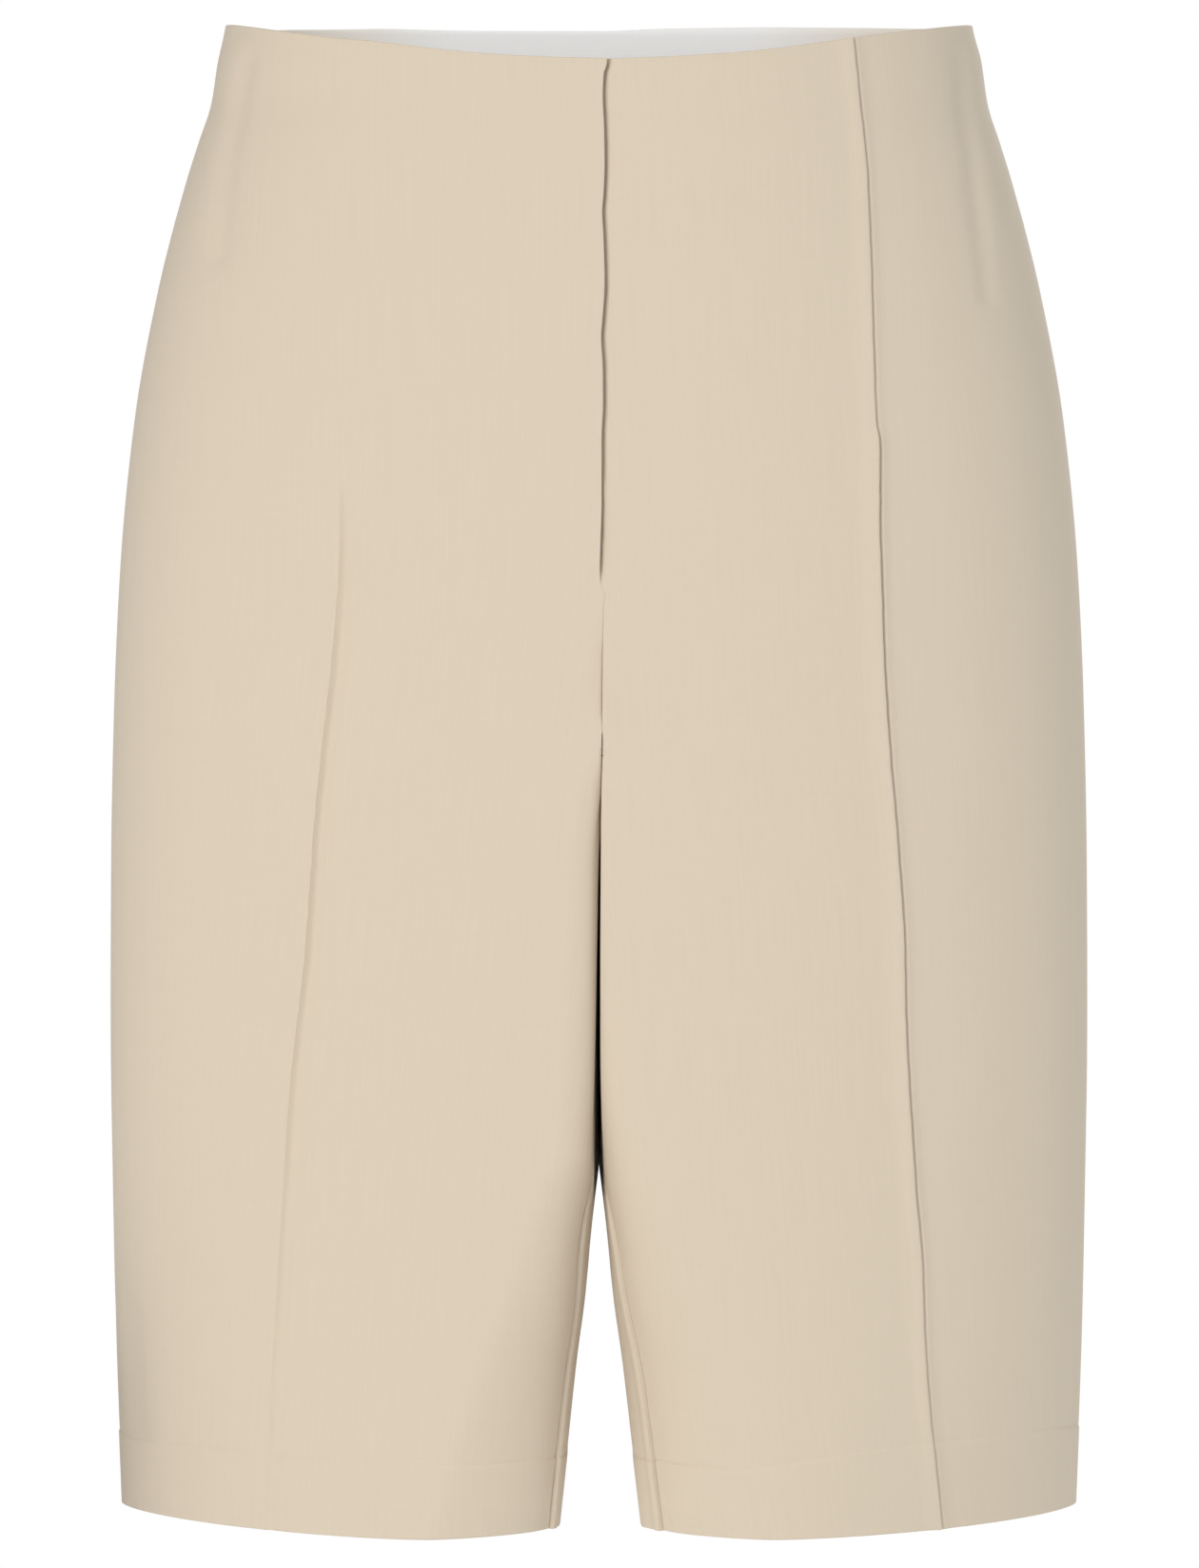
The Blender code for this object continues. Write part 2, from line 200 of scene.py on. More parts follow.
for light in LIGHTS:
    add_light(*light)
turns = np.linspace(0, 2 * math.pi, FLOOR_CORNERS, endpoint=False)
rim = [(FLOOR_RADIUS * math.cos(a), FLOOR_RADIUS * math.sin(a), -FLOOR_DROP) for a in turns]
# A matt paint has no gloss and one even tone.
add_stage("floor", rim, "pale_matt_floor_paint", "f7f7f6", 0.9)
# Felt throws almost nothing back, so the cloth beside it falls into shade.
add_stage("black_card", CARD, "black_felt_card", "0b0b0b", 1.0)
print("studio lights:", [light[0] for light in LIGHTS])

# %% [markdown]
# The worn body is described by sections at a few heights, as a tailor's tape would take them: half the
# width, how far the front and the back bulge, and how square each curve is. Between those heights a smooth
# curve is drawn that never swings past its rows. "drop" is the distance down from the side of the waist.

# %% Body sizes
OUTSEAM = 567.5
WALL = 1.2
HEM_DEPTH = 30.0
FACING_DEPTH = 30.0
WAIST_DIP, DIP_POWER = 15.3, 1.6  # the front waist edge sinks in the middle
WAIST_RISE, RISE_POWER = 1.2, 3.0  # and the back one climbs a little
# x, how far the worn waist edge sinks there behind and in front
WAIST_WAVES = (
    (-142, 0.7, 0), (-100, 0, 0.3), (-85, -0.3, -0.2), (-48, 0.3, 0.3), (0, 0.3, 0), (26, -0.6, 0.3),
    (62, -1, 0.5), (100, -0.6, -0.4), (142, 0.6, 0.2),
)
DIP_FADES_BY = 100.0
CROTCH_DROP, CROTCH_Y = 283.0, -55.0
FRONT_RISE_END, BACK_RISE_END = 262.0, 200.0  # where the seams turn under, between the legs
BACK_CORNER = 2.1
FLY_END, FLY_CLOSED = 206.0, 211.0
# how far the fronts run past the middle, and from where that fades: the right one on top, the left beneath
LAP = {"right": (0.3, FLY_END), "left": (8.15, 150.0)}

# drop, half width, front, back, front power, back power
BODY = (
    (0, 142.1, 95, 90, 2.3, 2.2),
    (15, 145, 96.5, 93, 2.3, 2.2),
    (30, 147.4, 98, 97, 2.3, 2.2),
    (44, 152.2, 100, 101.5, 2.3, 2.2),
    (60, 157.4, 102, 107, 2.3, 2.2),
    (100, 168, 107, 120, 2.3, 2.2),
    (150, 177.3, 110.5, 133, 2.3, 2.2),
    (205, 182.9, 112, 139, 2.3, 2.2),
    (260, 185.6, 110.5, 135, 2.25, 2.2),
    (320, 187, 107, 125, 2.2, 2.15),
    (390, 187.5, 102.5, 114.5, 2.1, 2.1),
    (440, 187, 99.5, 109, 1.95, 2.1),
    (500, 186, 96, 104, 1.75, 2.05),
    (OUTSEAM, 183.8, 92.5, 99, 1.5, 2),
)
# drop, gap from the middle to the leg's inner wall, then the corners that turn into it:
# front width, front depth, front power, back width, back depth
LEG = (
    (200, -0.04, 0, 0, 2.1, 0, 0),
    (235, -0.04, 0, 0, 2.1, 4, 6),
    (250, -0.04, 0, 0, 2.1, 7.5, 11.5),
    (262, 0, 0, 0, 2.1, 10.6, 16.5),
    (266, 0.02, 0.8, 0.12, 1.6, 11.8, 18.3),
    (270, 0.02, 1.8, 0.3, 1.55, 13, 20),
    (276, 0, 3.2, 0.75, 1.6, 15, 22.8),
    (285, -0.03, 4.4, 1.65, 1.65, 18, 27),
    (300, -0.04, 5.4, 2.6, 1.7, 22.3, 33),
    (320, -0.05, 6.4, 3.3, 1.7, 28, 40),
    (350, -0.1, 8.2, 4.5, 1.65, 37, 49),
    (390, -0.1, 12, 7.6, 1.6, 47, 58),
    (420, -0.1, 17, 15.5, 1.75, 53, 62.3),
    (440, -0.1, 24, 28, 2, 57, 65),
    (445, 0.4, 25, 30.4, 2, 57.8, 65.3),
    (453, 1.5, 27, 31.4, 1.95, 59.2, 66),
    (462, 2.7, 29, 32.4, 1.88, 60.7, 66.5),
    (468, 3.4, 30.3, 33, 1.85, 61.6, 66.8),
    (504, 8.3, 38.7, 36, 1.7, 66.3, 69),
    (540, 12.1, 45, 34.6, 1.55, 69.8, 68.5),
    (OUTSEAM, 15, 49, 33, 1.45, 72, 68),
)
# drop, how much rounder the right leg's front corner is than that, and how much tighter the left one's,
# how far the left leg stands further away, and how far the legs' fronts stand further apart
LEGS_DIFFER = (
    (FRONT_RISE_END, 0, 0, 0), (276, 0.8, 0, 0), (285, 1, 0, 0.07), (292, 1, 0, 0.17),
    (307, 1, 0, 0.36), (321, 0.8, 0, 0.5), (343, 0.55, 0, 0.7), (365, 0.3, 0, 0.9),
    (387, 0.1, 0, 1.15), (409, -0.1, 0, 1.65), (424, -0.2, 0, 2), (438, -0.05, 0, 1.9),
    (446, 0, 0, 1.6), (465, 0, 0.1, 0.8), (490, 0, 0.3, 0), (OUTSEAM, 0, 1.1, 0),
)
# drop, the inseam's place from front to back on the right and the left leg
INSEAM = (
    (CROTCH_DROP, CROTCH_Y, CROTCH_Y), (370, -76, -74), (440, -82.5, -80), (500, -71, -76),
    (OUTSEAM, -66, -71),
)
# drop, how far the front's middle leans to the wearer's left
LEAN = ((0, 1.1), (206, 1.1), (268, 1.1), (300, 0.4), (360, -0.3), (420, -0.7), (480, 0))
# drop, how far the fly's edge wanders from that: a pressed edge is never quite straight
WANDER = (
    (0, 1.6), (17.2, 1.5), (21, 0.4), (28.9, 0), (41, 0.5), (53.3, 0.7), (65.4, 0.3), (71.6, -0.2),
    (81.8, 0.3), (98, 0.7), (110.3, 0), (118.3, -0.6), (128.5, 0), (142.8, 0.1), (154.8, -0.4),
    (179.3, -0.4), (192, -0.8), (203, -1.1), (208, -0.9), (210.5, 0.2), (213, 1.3), (216.5, 0.7),
    (226, 0.4), (262, 0.1), (OUTSEAM, 0),
)


def curve(rows, column=1):
    """A column of a table as a smooth function of the first one, for numbers or arrays."""
    rows = np.array(rows)
    at, values = rows[:, 0], rows[:, column]
    slopes = np.diff(values) / np.diff(at)
    turns = slopes[:-1] * slopes[1:] > 0
    both = np.where(turns, slopes[:-1] + slopes[1:], 1.0)
    inner = np.where(turns, 2 * slopes[:-1] * slopes[1:] / both, 0.0)
    tangents = np.concatenate([slopes[:1], inner, slopes[-1:]])

    def read(where):
        """The curve's value, level beyond its ends."""
        where = np.clip(where, at[0], at[-1])
        i = np.clip(np.searchsorted(at, where, side="right") - 1, 0, len(slopes) - 1)
        step = at[i + 1] - at[i]
        t = (where - at[i]) / step
        start = (1 + 2 * t) * (1 - t) ** 2 * values[i] + t * (1 - t) ** 2 * step * tangents[i]
        return start + t * t * (3 - 2 * t) * values[i + 1] + t * t * (t - 1) * step * tangents[i + 1]

    return read


def ease(share):
    """0 to 1 with level ends."""
    share = np.clip(share, 0.0, 1.0)
    return share * share * (3 - 2 * share)


def ramp(value, start, end):
    """0 before the start to 1 after the end, with level ends."""
    return ease((value - start) / (end - start))


def pair(rows, names, column=1, step=1):
    """Two of a table's columns as functions, by name."""
    return {name: curve(rows, column + i * step) for i, name in enumerate(names)}


ENDS, SIDES = ("front", "back"), ("right", "left")
TOWARD = {"front": -1, "back": 1}
half_width, full, power = curve(BODY), pair(BODY, ENDS, 2), pair(BODY, ENDS, 4)
leg_gap, front_corner = curve(LEG), curve(LEG, 4)
wide, deep = pair(LEG, ENDS, 2, 3), pair(LEG, ENDS, 3, 3)
inseam_y, lean, wander = pair(INSEAM, SIDES), curve(LEAN), curve(WANDER)
corner_differs, further_away, cleft = (curve(LEGS_DIFFER, c) for c in range(1, 4))
print("width at waist and hip:", [round(2 * float(half_width(drop))) for drop in (0, 205)], "mm")

# %% [markdown]
# One section of a panel is a line of points: from the side seam round the body to the middle, and below the
# crotch on round the leg to the inseam. Front and back share the same closed outline, so they meet exactly.

# %% One panel's line at a height
ARC_POINTS = 220


def quarter(how_square):
    """A quarter of a superellipse of size 1, from (1, 0) to (0, 1)."""
    angle = np.linspace(0, math.pi / 2, ARC_POINTS)
    return np.cos(angle).clip(0) ** (2 / how_square), np.sin(angle) ** (2 / how_square)


def seam_y(drop, panel, side):
    """How far from front to back the panel's inner edge lies."""
    start = FRONT_RISE_END if panel == "front" else BACK_RISE_END
    if drop <= start:
        return TOWARD[panel] * full[panel](drop)
    if drop < CROTCH_DROP:
        reach = TOWARD[panel] * full[panel](start) - CROTCH_Y
        share = (drop - start) / (CROTCH_DROP - start)
        return CROTCH_Y + reach * math.sqrt(1 - share * share)
    return inseam_y[side](drop)


def lap(drop, panel, side):
    """How far a front runs past the middle at the fly."""
    if panel == "back" or drop >= FLY_CLOSED:
        return 0.0
    most, fades_from = LAP[side]
    return most * min(1.0, (FLY_CLOSED - drop) / (FLY_CLOSED - fades_from))


def panel_line(drop, panel, side):
    """The panel's outline in the +X half, its running length, and where the inner corner starts on it."""
    across, along = quarter(power[panel](drop))

    def corner(which):
        """The front's or the back's inner corner of the outline."""
        in_x, in_y = quarter(front_corner(drop) if which == "front" else BACK_CORNER)
        larger = 1.0
        if which == "front":
            larger += corner_differs(drop) * (1.0 if side == "right" else -0.3)
        gap = leg_gap(drop) + (further_away(drop) if side == "left" else 0.0)
        gap += cleft(drop) if which == "front" else 0.0
        x = gap + wide[which](drop) * larger * (1 - in_y)
        y = full[which](drop) - deep[which](drop) * larger * (1 - in_x)
        return np.column_stack([x, TOWARD[which] * y])

    near, far = corner(panel), corner("back" if panel == "front" else "front")
    turn_x, turn_y = near[0]
    outer = np.column_stack([turn_x + (half_width(drop) - turn_x) * across, turn_y * along])
    line = np.concatenate([outer, near[1:], far[::-1]])
    steps = np.linalg.norm(np.diff(line, axis=0), axis=1)
    run = np.concatenate([[0.0], np.cumsum(steps)])
    inner = slice(ARC_POINTS - 1, None)
    end = np.interp(-TOWARD[panel] * seam_y(drop, panel, side), -TOWARD[panel] * line[inner, 1], run[inner])
    edge = [np.interp(end, run, values) for values in line.T]
    turn = min(run[ARC_POINTS - 1], end)
    past = lap(drop, panel, side)
    line = np.vstack([line[run < end - 1e-6], edge])
    if past:
        line = np.vstack([line, (edge[0] - past, edge[1])])
    run = np.concatenate([[0.0], np.cumsum(np.linalg.norm(np.diff(line, axis=0), axis=1))])
    return line, run, turn


line, run, turn = panel_line(300.0, "back", "left")
print("back section 300 mm down:", round(float(run[-1])), "mm round, corner at", round(float(turn)))

# %% [markdown]
# Cloth is modelled here as a closed wall: an outer skin, an inner skin and the edges between them. A cloth
# simulation would blur the sharp tucks and the fly, and the garment barely creases, so the skins are laid
# out by rule as grids of points: rows from waist to hem, and columns that follow the seams and the tuck.
# Columns crowd where something small happens, such as at a seam's rolled edge, and spread out elsewhere.
# The tuck is a real fold in the grid. Seen from above its path doubles back under its own lip. Where the
# fold is pressed flat, the path is drawn out straight instead.

# %% Rows, columns and the tuck's fold
LEVEL_STEP = 1.25
DIRECTION_REACH = 0.4  # half the length over which a section's direction is read
ROW_STEP = 2.2
# rows crowd where the front seam turns under and where the hem is stitched
CROWDED = ((261, 288, 0.75), (531.5, 542, 0.5))
EDGE_STOPS = (0.04, 0.1, 0.22, 0.42, 0.7, 1.05, 1.5, 2.1, 2.9, 4.0, 5.3, 7.0)  # from a seam
FOLD = (
    # offset from the free edge toward the middle and height, on the right and then on the left front,
    # and the offset when pressed flat
    (-7, 0, -7, 0, -7),
    (-5, 0, -5, 0.12, -5),
    (-3.4, 0.02, -3.4, 0.4, -3.6),
    (-2.2, 0.04, -2.5, 0.66, -2.6),
    (-1.4, 0.06, -1.9, 0.82, -1.9),
    (-0.9, 0.08, -1.5, 0.84, -1.4),
    (-0.6, 0.08, -1.25, 0.74, -1),
    (-0.3, 0.07, -1, 0.5, -0.7),
    (-0.12, 0.05, 0.3, 0.42, -0.5),
    (-0.04, 0, 1.5, 0.42, -0.35),
    (0, -0.06, 2.2, 0.44, -0.2),
    (0.01, -0.12, 2.5, 0.58, -0.1),
    (0.03, -0.18, 2, 0.78, -0.03),
    (0.06, -0.24, 1.2, 0.95, 0.03),
    (0.12, -0.3, 0.35, 1.06, 0.1),
    (0.22, -0.37, 0, 1.16, 0.2),
    (0.4, -0.47, -0.03, 1.32, 0.35),
    (0.7, -0.62, 0.2, 1.48, 0.6),
    (1.2, -0.76, 0.9, 1.5, 1.1),
    (1.9, -0.74, 1.8, 1.34, 1.9),
    (3, -0.48, 3, 0.98, 3),
    (4.5, -0.18, 4.5, 0.5, 4.5),
    (6.5, -0.04, 6.5, 0.14, 6.5),
    (9, 0, 9, 0, 9),
)
FOLD_OFFSET, FOLD_HEIGHT, FOLD_FLAT = {"right": 0, "left": 2}, {"right": 1, "left": 3}, 4
SIDE_SPANS, MIDDLE_SPANS = 34, 24  # front columns beside the crowded ones
BACK_SPANS, SEAT_SPANS = 70, 44
FRONT_INNER_FROM, BACK_INNER_FROM = 8.0, 25.0  # how far before the inner corner its columns start
# columns over the front's inner corner, how far they reach at most, and columns beyond it
CORNER_SPANS, CORNER_REACH, CORNER_SHARE, INNER_SPANS = 26, 18.0, 0.7, 14

# drop, how far from the middle the tuck's free edge lies, on the right and on the left front
TUCK = (
    (0, 92.2, 93.2), (28, 93.2, 96), (60, 94, 99), (127, 94.6, 101.3), (151, 95, 102.3),
    (156, 95.2, 103.3), (180, 95.6, 103.2), (206, 96.2, 103.9), (228, 98, 104.7), (250, 100.2, 105.8),
    (275, 103.3, 107.7), (304, 106.1, 110.3), (345, 109.2, 113.2), (374, 112.5, 113.9),
    (400, 115.5, 115.4), (436, 118, 117.9), (466, 120, 120.6), (497, 122, 121.9), (540, 124.4, 125.8),
    (OUTSEAM, 125.2, 128.9),
)
# drop, how far the fold stands open, on the right and on the left
FOLD_OPEN = (
    (0, 0.02, 0.9), (120, 0.02, 1), (150, 0.03, 0.95), (158, 0.06, 1.25), (168, 0.18, 1.27),
    (178, 0.38, 1.3), (190, 0.5, 1.25), (205, 0.56, 1.25), (235, 0.62, 1.2), (300, 0.7, 1.15),
    (420, 0.55, 1.1), (470, 0.45, 0.95), (OUTSEAM, 0.3, 0.8),
)
tuck_x, fold_open = pair(TUCK, SIDES), pair(FOLD_OPEN, SIDES)
# a lip's edge is never quite straight: how far it strays, and over what lengths
UNEVEN, UNEVEN_STEPS = {"right": 0.08, "left": 0.04}, (9.3, 17.7, 41.0)
fold = np.array(FOLD)
FOLD_START = len(EDGE_STOPS) + SIDE_SPANS - 1  # the fold's first column
TUCK_WITHIN = 0.3  # of the half width: out from there a front's line runs only outwards, and is searched


def lip_x(drop, side):
    """How far from the middle the lip's edge lies, with its small unevenness."""
    waves = sum(np.sin(2 * math.pi * drop / step) for step in UNEVEN_STEPS)
    return tuck_x[side](drop) + UNEVEN[side] * waves * ease(fold_open[side](drop))


def stops_of(line, run, turn, drop, panel, side):
    """Where the columns lie on a panel's line, from the side seam: as seen, and pressed flat."""
    edge = np.array(EDGE_STOPS)
    last = run[-1] - edge[::-1]
    if panel == "back":
        start = turn - BACK_INNER_FROM
        outer = np.linspace(edge[-1], start, BACK_SPANS)[1:]
        inner = np.linspace(start, last[0], SEAT_SPANS)[1:-1]
        stops = np.concatenate([edge, outer, inner, last])
        return stops, stops
    upto = np.searchsorted(-line[:, 0], -TUCK_WITHIN * line[:, 0].max())
    tuck = np.interp(-lip_x(drop, side), -line[:upto, 0], run[:upto])
    opened = fold_open[side](drop)
    flat, folded = tuck + fold[:, FOLD_FLAT], tuck + fold[:, FOLD_OFFSET[side]]
    start = turn - FRONT_INNER_FROM
    outer = np.linspace(edge[-1], flat[0], SIDE_SPANS + 1)[1:-1]
    middle = np.linspace(flat[-1], start, MIDDLE_SPANS)[1:]
    past_corner = start + min(CORNER_REACH, CORNER_SHARE * (last[0] - start))
    corner = np.linspace(start, past_corner, CORNER_SPANS)[1:]
    inner = np.concatenate([corner, np.linspace(past_corner, last[0], INNER_SPANS)[1:-1]])
    lying = np.concatenate([edge, outer, flat, middle, inner, last])
    seen = lying.copy()
    seen[FOLD_START : FOLD_START + len(fold)] += min(opened, 1.0) * (folded - flat)
    return seen, lying


def rows_of():
    """The rows' drops, crowded at the waist and the hem where the edges are rolled."""
    edge = np.array((0.0,) + EDGE_STOPS[1:9])
    count = int((OUTSEAM - 2 * edge[-1]) / ROW_STEP)
    between = np.linspace(edge[-1], OUTSEAM - edge[-1], count)[1:-1]
    rows = np.concatenate([edge, between, OUTSEAM - edge[::-1]])
    for first, past, step in CROWDED:
        rows = rows[(rows < first) | (rows > past)]
        rows = np.sort(np.concatenate([rows, np.arange(first, past, step)]))
    return rows


ROWS = rows_of()
LEVELS = np.append(np.arange(0, OUTSEAM, LEVEL_STEP), OUTSEAM)
LEVELS = np.unique(np.concatenate([LEVELS, np.arange(*CROWDED[0])]))
print("rows:", len(ROWS), "levels:", len(LEVELS))

# %% [markdown]
# Each panel is read level by level, and then row by row. A row is not level at the waist: its middle dips in
# front and climbs a little behind, so every point is looked up at its own height. The direction that the
# cloth faces comes from the section's direction and the next rows, and everything that stands proud later,
# such as a ridge or a lip, moves along it.

# %% Plain skins of the four panels
waist_waves = pair(WAIST_WAVES, ("back", "front"))
LEAN_REACH, WANDER_REACH = 45.0, 6.0  # how far from the middle each is felt
IN_FRONT = (60, 95)  # and from how far forward, and where in full


def waist_shift(drop, x, panel):
    """How far the waist edge's curve moves a point down. It is full at the top and fades below."""
    share = np.minimum(1.0, np.abs(x) / half_width(drop))
    dip, rise = WAIST_DIP * (1 - share**DIP_POWER), -WAIST_RISE * (1 - share**RISE_POWER)
    shift = (dip if panel == "front" else rise) + waist_waves[panel](x)
    return shift * np.maximum(0.0, 1 - drop / DIP_FADES_BY) ** 2


def read_levels(table, drops):
    """A table of levels, read at each column's own drop."""
    drops = np.clip(drops, 0, OUTSEAM)
    below = np.clip(np.searchsorted(LEVELS, drops, side="right") - 1, 0, len(LEVELS) - 2)
    share = ((drops - LEVELS[below]) / (LEVELS[below + 1] - LEVELS[below]))[..., None]
    columns = np.broadcast_to(np.arange(table.shape[1]), drops.shape)
    return table[below, columns] * (1 - share) + table[below + 1, columns] * share


def lean_over(points):
    """Shifts the front's middle sideways, as the worn fly leans."""
    x, y = points[..., 0], points[..., 1]
    near = np.exp(-((x / LEAN_REACH) ** 2)) * ramp(-y, *IN_FRONT)
    at_edge = np.exp(-((x / WANDER_REACH) ** 2)) * ramp(-y, *IN_FRONT)
    points[..., 0] += lean(-points[..., 2]) * near + wander(-points[..., 2]) * at_edge


def skin(table, panel, side):
    """One skin's points and outward directions from a table of levels (x, y, direction x and y)."""
    sign = -1 if side == "right" else 1
    across = read_levels(table, np.repeat(ROWS[:, None], table.shape[1], axis=1))[..., 0]
    drops = ROWS[:, None] + waist_shift(ROWS[:, None], sign * across, panel)
    read = read_levels(table, drops)
    points = np.stack([sign * read[..., 0], read[..., 1], -drops], axis=-1)
    along = np.stack([sign * read[..., 2], read[..., 3], np.zeros_like(drops)], axis=-1)
    if panel == "front":
        lean_over(points)
    down = np.gradient(points, axis=0)
    out = np.cross(along, down) * (-TOWARD[panel] * sign)
    return points, out / np.linalg.norm(out, axis=-1, keepdims=True)


def plain_panel(panel, side):
    """A panel's two plain skins, with cloth lengths from the side seam and to the inner edge."""
    seen, lying, lengths, ends = [], [], [], []
    for drop in LEVELS:
        line, run, turn = panel_line(drop, panel, side)
        for stops, table in zip(stops_of(line, run, turn, drop, panel, side), (seen, lying)):
            at, ahead, behind = (
                np.column_stack([np.interp(stops + shift, run, values) for values in line.T])
                for shift in (0, DIRECTION_REACH, -DIRECTION_REACH)
            )
            table.append(np.hstack([at, ahead - behind]))
        lengths.append(stops)
        ends.append(run[-1])
    made = {"panel": panel, "side": side}
    made["seen"], made["out"] = skin(np.array(seen), panel, side)
    made["lying"], made["out_lying"] = skin(np.array(lying), panel, side)
    drops = -made["lying"][..., 2]
    made["length"] = read_levels(np.array(lengths)[..., None], drops)[..., 0]
    made["to_end"] = np.interp(drops, LEVELS, ends) - made["length"]
    made["drop"] = drops
    return made


plain = {(panel, side): plain_panel(panel, side) for panel in ENDS for side in SIDES}
for key, made in plain.items():
    print(key, "points a skin:", made["drop"].size, "widest:", round(float(made["length"].max())), "mm")

# %% [markdown]
# Soft creases and hollows are listed, each as a line of points on the cloth with its own height and
# width. A point of the cloth near such a line is lifted or sunk by a bell curve, so that the wall bends and
# nothing looks carved. The front's marks are those on the worn garment. Back and sides
# get marks of the same size and kind, where the cloth would pull in wear.

# %% Soft marks in the cloth
MARKS = {
    # by panel and side: height, half width, and points (x, drop) with x to the wearer's left
    ("front", "right"): (
        (-1.2, 2.5, ((-132, 15), (-133.4, 22), (-134.5, 33), (-138.1, 48), (-140.3, 66), (-142.1, 88))),
        (0.8, 4.5, ((-139, 16), (-142, 36), (-146, 55), (-150, 75))),
        (-0.25, 3, ((-43.7, 24), (-44.2, 60), (-43, 104))),  # the edge of the fly's facing
        (0.3, 3, ((-33.2, 24), (-33, 25))),  # the hook and bar press through
        (-0.35, 3, ((-24, 200), (-20, 206), (-14, 213))),
        (0.3, 4, ((-12, 214), (-8, 226), (-5, 245))),
        # below the fly this front sinks a little toward the seam, which lies in a fine groove
        (-0.8, 3.6, ((1.5, 236), (1.3, 246), (1.2, 255))),
        (-0.35, 0.9, ((1.5, 222), (1.3, 246), (1.2, 259))),
        (-0.3, 9, ((-150, 118), (-110, 128), (-60, 130))),
        (-0.5, 8, ((-10, 268), (-34, 282), (-70, 290))),
        (0.6, 10, ((-18, 300), (-40, 360), (-52, 430))),
        (-0.5, 9, ((-26, 440), (-31, 490), (-36, 540))),
        (-0.6, 12, ((-150, 330), (-158, 400), (-156, 470))),
        (-1, 3.6, ((-178.5, 492), (-178, 515), (-176.5, 536))),
    ),
    ("front", "left"): (
        (-1.3, 2.2, ((136.3, 13), (136.7, 22), (137.1, 33), (139.3, 48), (141.1, 66),
                     (143.6, 85), (145.4, 103))),
        (0.9, 4.5, ((143, 14), (144, 36), (147.5, 55), (151.5, 78))),
        (-0.5, 2.6, ((2.6, 188), (5, 196), (7.6, 206))),
        (0.35, 2.4, ((5, 186), (8.6, 195), (11, 204))),
        (-0.35, 0.9, ((1.5, 222), (1.3, 246), (1.2, 259))),  # the same groove
        (-0.3, 9, ((152, 122), (118, 133), (70, 138))),
        (-0.5, 8, ((12, 266), (36, 281), (72, 291))),
        (-0.8, 8, ((9, 445), (19, 470), (26, 505))),
        (0.5, 7, ((24, 440), (34, 480), (38, 520))),
        (-0.6, 12, ((152, 320), (160, 395), (157, 465))),
    ),
    ("back", "right"): (
        (-0.7, 12, ((-20, 232), (-58, 254), (-108, 262), (-146, 254))),
        (0.45, 12, ((-26, 254), (-62, 274), (-112, 283))),
        (-0.8, 9, ((-34, 286), (-52, 318), (-60, 362))),
        (0.6, 12, ((-104, 320), (-110, 400), (-108, 480))),
        (-0.4, 10, ((-60, 92), (-84, 118), (-120, 132))),
        (-0.6, 12, ((-150, 300), (-160, 370), (-158, 450))),
        # the back dart: a fine groove that runs out 92 mm below the waist
        (-0.5, 0.8, ((-66, -4), (-68, 60), (-69, 92))),
    ),
    ("back", "left"): (
        (-0.7, 12, ((19, 228), (60, 252), (106, 263), (144, 257))),
        (0.45, 12, ((28, 250), (66, 273), (110, 282))),
        (-0.8, 9, ((36, 284), (50, 314), (62, 358))),
        (0.6, 12, ((102, 322), (109, 398), (110, 478))),
        (-0.4, 10, ((58, 90), (86, 117), (122, 130))),
        (-0.6, 12, ((150, 305), (161, 372), (157, 455))),
        # the back dart: a fine groove that runs out 92 mm below the waist
        (-0.5, 0.8, ((66, -4), (68, 60), (69, 92))),
    ),
}


def closeness(across, down, points, half_width_mm):
    """How close each point of the cloth is to a line: 1 on it, 0 far away."""
    best = np.full(across.shape, np.inf)
    for (x0, d0), (x1, d1) in zip(points, points[1:]):
        length = (x1 - x0) ** 2 + (d1 - d0) ** 2
        share = np.clip(((across - x0) * (x1 - x0) + (down - d0) * (d1 - d0)) / length, 0, 1)
        away = (across - x0 - share * (x1 - x0)) ** 2 + (down - d0 - share * (d1 - d0)) ** 2
        best = np.minimum(best, away)
    return np.exp(-best / (2 * half_width_mm**2))


def soft_marks(made):
    """The height of all soft marks over one panel."""
    height = np.zeros_like(made["drop"])
    for high, half, points in MARKS[made["panel"], made["side"]]:
        height += high * closeness(made["lying"][..., 0], made["drop"], points, half)
    return height


for key, made in plain.items():
    made["marks"] = soft_marks(made)
    print(key, "marks from and to:", [round(float(end(made["marks"])), 2) for end in (np.min, np.max)], "mm")

# %% [markdown]
# The small heights come next. Cloth turns in at each seam with a tiny radius, which draws the seam as a soft
# groove. Behind the inseam the allowances lie folded to the back and raise a ridge. The hem is blind
# stitched: nothing shows but a very slight step and a row of faint dimples. At the fly the right front
# climbs a little, and the left one dips away beneath it, so its edge casts a crisp shadow.

# %% Small heights in the cloth
ROLL = 0.7  # radius of a seam's rolled edge
EDGE_ROLL = 0.6  # and of the folded edges at waist and hem
RISE_ROLL, RISE_ROLL_LOW = 0.35, 1.0  # and of the front seam's below the fly, at its top and its bottom,
RISE_ROLL_FULL = 262.0  # which is here
RISE_UNDER, RISE_SHOWS = (253, 264), (290, 310)  # between these drops it's turned under and has no roll
LEAST_WALL = 0.25
RIDGE_DROPS = (432, 462)  # where the inseam's ridge and hollow begin and are full
RIDGE_HIGH, RIDGE_RISES, RIDGE_FALLS = 1.25, (0.15, 0.85), (2.8, 5.0)
VALLEY_DEEP, VALLEY_HALF = 0.8, 7.0  # the inseam's ridge lies in this hollow
# beside the tuck's lip, and how much slower it runs out toward the middle
SUNK_DEEP, SUNK_AT, SUNK_HALF, SUNK_SLOWER = {"right": 1.6, "left": 0.0}, 1.9, 1.6, 0.6
